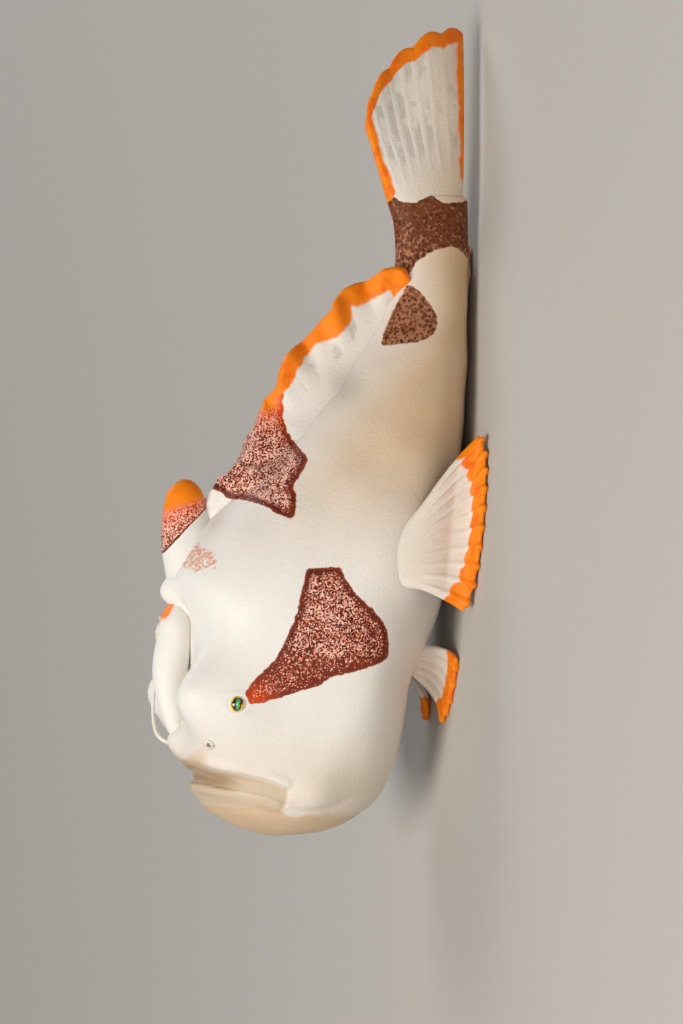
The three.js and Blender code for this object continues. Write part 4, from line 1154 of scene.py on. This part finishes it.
def limb_fin(plan):
    """An arm that opens into a fan. At the distance s along the path, a place with side from -1 to 1
    lies side * (half width) off the path, and past the wrist also (s - wrist) * tan(side * spread).
    Each ray ends where the fan's rounded margin is."""
    at, length = smooth_path(plan["path"])
    broad = unit(np.array(plan["broad"]))
    stations = np.linspace(0, plan["wrist"], 4)

    def reach(t):
        side = 2 * t - 1
        ray = plan["length"] * (1 - 0.12 * side**2) * (1 - 0.06 * (1 - on_ray(t, plan["rays"])))
        return plan["wrist"] + ray * np.cos(side * plan["spread"])

    def centre(t, r):
        side = 2 * t - 1
        s = r * reach(t)
        flat = np.maximum(0, s - plan["wrist"]) * np.tan(side * plan["spread"])
        off = side * np.interp(s, stations, plan["half_widths"]) + flat
        return at(s / length) + off[..., None] * broad

    def half(t, r):
        s = r * reach(t)
        flesh = np.interp(s, [*stations, plan["wrist"] + 2.6], [*plan["half_thick"], THIN])
        fleshy = (flesh - THIN) * oval(t)
        free = ease(s, plan["wrist"] - 0.6, plan["wrist"] + 1.2)
        return THIN + fleshy + 0.8 * RAY_RISE * on_ray(t, plan["rays"]) * free

    grid, t, r = sheet_grid(centre, half, 12 * plan["rays"], 70)
    return grid, t, (1 - r) * reach(t), ease(r * reach(t), plan["wrist"], plan["wrist"] + 2)


def add_limbs(word, plan, nodes, shift):
    """The left limb and its mirror image on the right."""
    grid, t, left, free = limb_fin(plan)
    grid[..., 2] = np.maximum(grid[..., 2], LOWEST)
    for name, side in SIDES:
        placed = grid * [1, side, 1] + [shift if side < 0 else 0.0, 0, 0]
        replaced = tuple(f"{node}_{name}" for node in nodes)
        add_piece(f"{word}_{name}", placed, SKIN, "skin", replaced, margin=left - plan["band"],
                  web=LIMB_WEB * (1 - on_ray(t, plan["rays"])) * free, warmth=LIMB_WARM_SHADE)


add_limbs("pectoral", PECTORAL, ("pectoral_arm", "pectoral_fin"), FAR_ARM_SHIFT)
add_limbs("pelvic", PELVIC, ("pelvic_fin",), 0.0)

# %% [markdown]
# ## The spines of the head
# The first three dorsal spines of a frogfish stand on its head. The first is the fishing rod with a
# lure at its end. The second lies back like a club in the hollow between the brows. The third is a
# broad lobe behind the head, red with pale dots that run out in its orange tip.

# %% Round limbs
TIP_SHARE = 0.18  # the share of a limb that its rounded tip takes


def limb_grid(path, widths, thicknesses, rows, columns):
    """Oval sections along a path, broad across the fish and rounded at the tip. Gives the points and
    how far each is from the tip along the path."""
    at, length = smooth_path(path)
    share = 1 - (1 - np.linspace(0, 1, rows)) ** 1.6
    ahead = unit(at(share + 0.01) - at(share - 0.01))
    thin = unit(np.cross(ahead, [0.0, 1.0, 0.0]))
    wide = np.cross(thin, ahead)
    tip = np.sqrt(1 - np.clip((share - 1 + TIP_SHARE) / TIP_SHARE, 0, 1) ** 2)
    tip[[0, -1]] = 0

    def measure(values):
        curve = smooth_path(np.stack([np.linspace(0, 1, len(values)), values], 1))[0]
        return (tip * np.interp(share, *curve(np.linspace(0, 1, 200)).T))[:, None, None]

    turn = np.linspace(0, 2 * np.pi, columns, endpoint=False)[None, :, None]
    sides = measure(widths) * wide[:, None] * np.cos(turn)
    faces = measure(thicknesses) * thin[:, None] * np.sin(turn)
    return at(share)[:, None] + sides + faces, np.tile(length * (1 - share[:, None]), columns)

# %% [markdown]
# ### Spines and rod
# Each spine is a row of oval sections along a path that leans over the head.

# %% Spines and rod
SECOND_PATH = [[28.6, 0, 22.7], [26.4, 0, 23.5], [23.2, 0, 24.0], [19.8, 0, 23.9], [16.9, 0, 24.1]]
THIRD_PATH = [[14.0, 0, 21.9], [11.6, 0, 23.2], [9.0, 0, 23.9], [6.2, 0, 24.1]]
ROD_PATH = [
    [29.3, -0.7, 22.9], [28.5, -1.5, 24.3], [26.4, -2.5, 24.7], [23.6, -3.0, 24.6], [21.2, -3.1, 24.3],
]
ROD_HALF = [0.22, 0.17, 0.14, 0.13]  # its half thickness along the way
SECOND_TIP = (16.9, 24.15)  # a place on the slanting front of the orange tip, in side view
PLAIN = {"blotch": NO_MARK, "spot": NO_MARK}

grid, _ = limb_grid(SECOND_PATH, [0.6, 1.0, 1.45, 1.55, 1.3], [0.6, 1.1, 1.55, 1.5, 1.2], 110, 72)
fleck = 0.58 * (grid[..., 0] - SECOND_TIP[0]) - 0.86 * (grid[..., 2] - SECOND_TIP[1])
add_piece("second_spine", grid, SKIN, "skin", ("second_dorsal_spine",), margin=fleck, **PLAIN)
grid, left = limb_grid(THIRD_PATH, [2.8, 2.0, 1.5, 1.0], [3.4, 2.6, 1.95, 1.3], 110, 84)
red_end = left - 3.8 - 0.9 * (grid[..., 2] - 23.5)
slant = left - 0.3 * (grid[..., 2] - 24.0)
add_piece("third_spine", grid, SKIN, "skin", ("third_dorsal_spine",), blotch=2.5 * red_end, brown=0.0,
          lace=0.3, ember=1.9 * (1 - ease(slant, 0.9, 4.3)), spot=NO_MARK)
grid, _ = limb_grid(ROD_PATH, ROD_HALF, ROD_HALF, 90, 14)
add_piece("fishing_rod", grid, SKIN, "skin", ("illicium",), **PLAIN)

# %% [markdown]
# ## The lure
# The lure of this species imitates a small fish or shrimp. It is a flattened body with a notched
# tail and a few threads, nearly clear and faintly pink, at the end of the rod.

# %% Lure
LURE_AT = np.array([20.9, -3.1, 24.3])  # the front end of the lure
LURE_BODY = [[0, 0, 0], [-0.7, 0, 0.12], [-1.6, 0.05, 0.12], [-2.5, 0.12, 0.0], [-3.3, 0.2, -0.15]]
LURE_THREADS = [(0.81, 0.25, 1.7), (0.36, 0.45, 1.9), (-0.45, 0.40, 1.9), (-0.86, 0.18, 1.6)]
THREAD_HALF = [0.16, 0.12, 0.09, 0.06]
LURE_CLEAR = (0.80, 0.76, 0.70, 1.0)
LURE_PINK = (0.80, 0.50, 0.38, 1.0)


def flesh_material(name, mark, step, colours, relief, roughness, glow):
    """Moist flesh, with the skin's tooth and light passing through: two colours that meet over a step
    of the value stored as mark, or of noise if there is none."""
    material, shader, place = new_material(name)
    share = stored(place.tree, mark) if mark else grain(place, 3.0)
    set_inputs(shader, {
        "Base Color": share.fade(*step).mix(*colours),
        "Normal": tooth(place, relief),
        "Roughness": roughness,
        "Subsurface Weight": glow,
        "Subsurface Scale": SKIN_DEPTH,
    })
    return material


LURE = flesh_material("lure", None, (0.5, 0.62), (LURE_CLEAR, LURE_PINK),
                      relief=0.4, roughness=0.35, glow=0.6)
grid, _ = limb_grid(LURE_AT + LURE_BODY, [0.18, 0.34, 0.38, 0.20, 0.42], [0.22, 0.52, 0.50, 0.18, 0.12],
                    48, 28)
add_piece("lure_body", grid, LURE, "skin", ("esca",), **PLAIN)
for number, (aside, up, long) in enumerate(LURE_THREADS):
    steps = np.linspace(0, 1, 5)[:, None]
    path = LURE_AT + [-0.8, 0, 0] + steps * [-long, 0, 0] + steps**1.5 * [0, aside, up]
    grid, _ = limb_grid(path, THREAD_HALF, THREAD_HALF, 30, 10)
    add_piece(f"lure_thread_{number + 1}", grid, LURE, "skin", (), **PLAIN)

# %% [markdown]
# ## Eyes and nostrils
# The eye is tiny. Its pupil is kidney-shaped and dark, with a painted reflection in green and teal,
# ringed in black and then in yellow. Each vertex of the ball stores its place on the eye's face, so the
# rings are sharp.

# %% Eyes
PUPIL_DARK = (0.035, 0.030, 0.035, 1.0)
# Painted reflection: the green and teal streak in the pupil.
GLINT_GREEN = (0.14, 0.62, 0.10, 1.0)
GLINT_TEAL = (0.05, 0.36, 0.30, 1.0)
RING_BLACK = (0.010, 0.006, 0.014, 1.0)
RING_YELLOW = (0.98, 0.62, 0.010, 1.0)
PUPIL_BALLS = (  # discs that melt into the kidney: place along the fish, place upwards, radius
    (-0.27, -0.20, 0.28), (-0.27, 0.05, 0.33), (-0.02, 0.16, 0.35), (0.19, 0.02, 0.35), (0.42, 0.0, 0.15),
)
MELT = 30  # how sharply the discs melt together, for each millimetre
RING_REACH = (0.72, 0.61)  # the yellow ring's half length along the fish and its half height


def across_gaze(gaze):
    """Two directions across a line of sight: one along the fish, one up."""
    along_fish = unit(np.array([1.0, 0, 0]) - gaze[0] * gaze)
    up = np.cross(along_fish, gaze)
    return along_fish, up * np.sign(up[2])


def lathe_grid(middle, gaze, profile, columns):
    """A turned form: each profile row gives a radius and a height along the line of sight. Gives the
    points and their two places across the line."""
    a, b = across_gaze(gaze)
    turn = np.linspace(0, 2 * np.pi, columns, endpoint=False)
    across = profile[:, :1] * np.cos(turn)
    up = profile[:, :1] * np.sin(turn)
    grid = middle + across[..., None] * a + up[..., None] * b + (profile[:, 1:] * gaze)[:, None]
    return grid, across, up


def eye_material():
    """Rings by the stored distance from the pupil's outline, and a painted reflection in green and teal
    across the pupil, under a clear coat.
    """
    material, shader, place = new_material("eye")
    tree = place.tree
    pupil = stored(tree, "pupil")
    cloud = swing(place, 4.0, 0.3)
    # Painted reflection: a green streak across the dark pupil, teal towards its ends.
    colour = (stored(tree, "ends") + cloud).fade(0.15, 0.32).mix(GLINT_GREEN, GLINT_TEAL)
    colour = (stored(tree, "shine") + cloud).fade(-0.20, -0.06).mix(PUPIL_DARK, colour)
    colour = pupil.fade(-0.10, -0.05).mix(colour, RING_BLACK)
    colour = pupil.fade(-0.012, 0.012).mix(colour, RING_YELLOW)
    colour = stored(tree, "ring").fade(-0.02, 0.02).mix(colour, CHALK_WHITE)
    inputs = {"Base Color": colour, "Roughness": 0.12, "Coat Weight": 1.0, "Coat Roughness": 0.02}
    set_inputs(shader, inputs)
    return material


EYE = eye_material()
fall = np.linspace(0, np.pi, 60)
ball = np.stack([EYE_RADIUS * np.sin(fall), EYE_RADIUS * np.cos(fall)], 1)
ball[[0, -1], 0] = 0
for (name, _), (middle, gaze) in zip(SIDES, EYES):
    grid, a, b = lathe_grid(middle, gaze, ball, 72)
    discs = [np.hypot(a - along, b - up) - radius for along, up, radius in PUPIL_BALLS]
    kidney = -np.log(sum(np.exp(-MELT * disc) for disc in discs)) / MELT
    behind = NO_MARK * (((grid - middle) @ gaze) < 0)
    ring = 0.6 * (np.hypot(a / RING_REACH[0], b / RING_REACH[1]) - 1)
    add_piece(f"eyeball_{name}", grid, EYE, "eyes", (f"eye_{name}",), pupil=kidney + behind,
              ring=ring + behind, shine=-np.abs(b + 0.04), ends=np.abs(a + 0.05))

# %% [markdown]
# ### The nostrils
# A nostril is a short tube, and its bore is painted dark as shade.

# %% Nostrils
NOSTRIL_PROFILE = [  # radius, and height along the way it faces
    [0.0, -0.20], [0.14, -0.20], [0.18, 0.05], [0.21, 0.24], [0.27, 0.33], [0.35, 0.30], [0.41, 0.18],
    [0.50, 0.02], [0.68, -0.14], [0.72, -0.45], [0.0, -0.45],
]
# Painted shade: the nostril's bore is dark brown.
BORE_SHADE = (0.36, 0.22, 0.15, 1.0)
NOSTRIL_WHITE = (0.83, 0.77, 0.69, 1.0)
BORE = flesh_material("nostril", "bore", (0.10, 0.30), (BORE_SHADE, NOSTRIL_WHITE),
                      relief=0.5, roughness=0.5, glow=0.22)
shape = smooth_path(NOSTRIL_PROFILE)[0](np.linspace(0, 1, 60))
shape[:, 0] = np.maximum(shape[:, 0], 0)
shape[[0, -1], 0] = 0
for name, side in SIDES:
    place, out = skin_place(*NOSTRIL_AT, side)
    out = unit(out + [0, 0.6 * side, 0])
    grid, a, b = lathe_grid(place, out, shape, 40)
    add_piece(f"nostril_{name}", grid, BORE, "skin", (), bore=np.hypot(a, b))
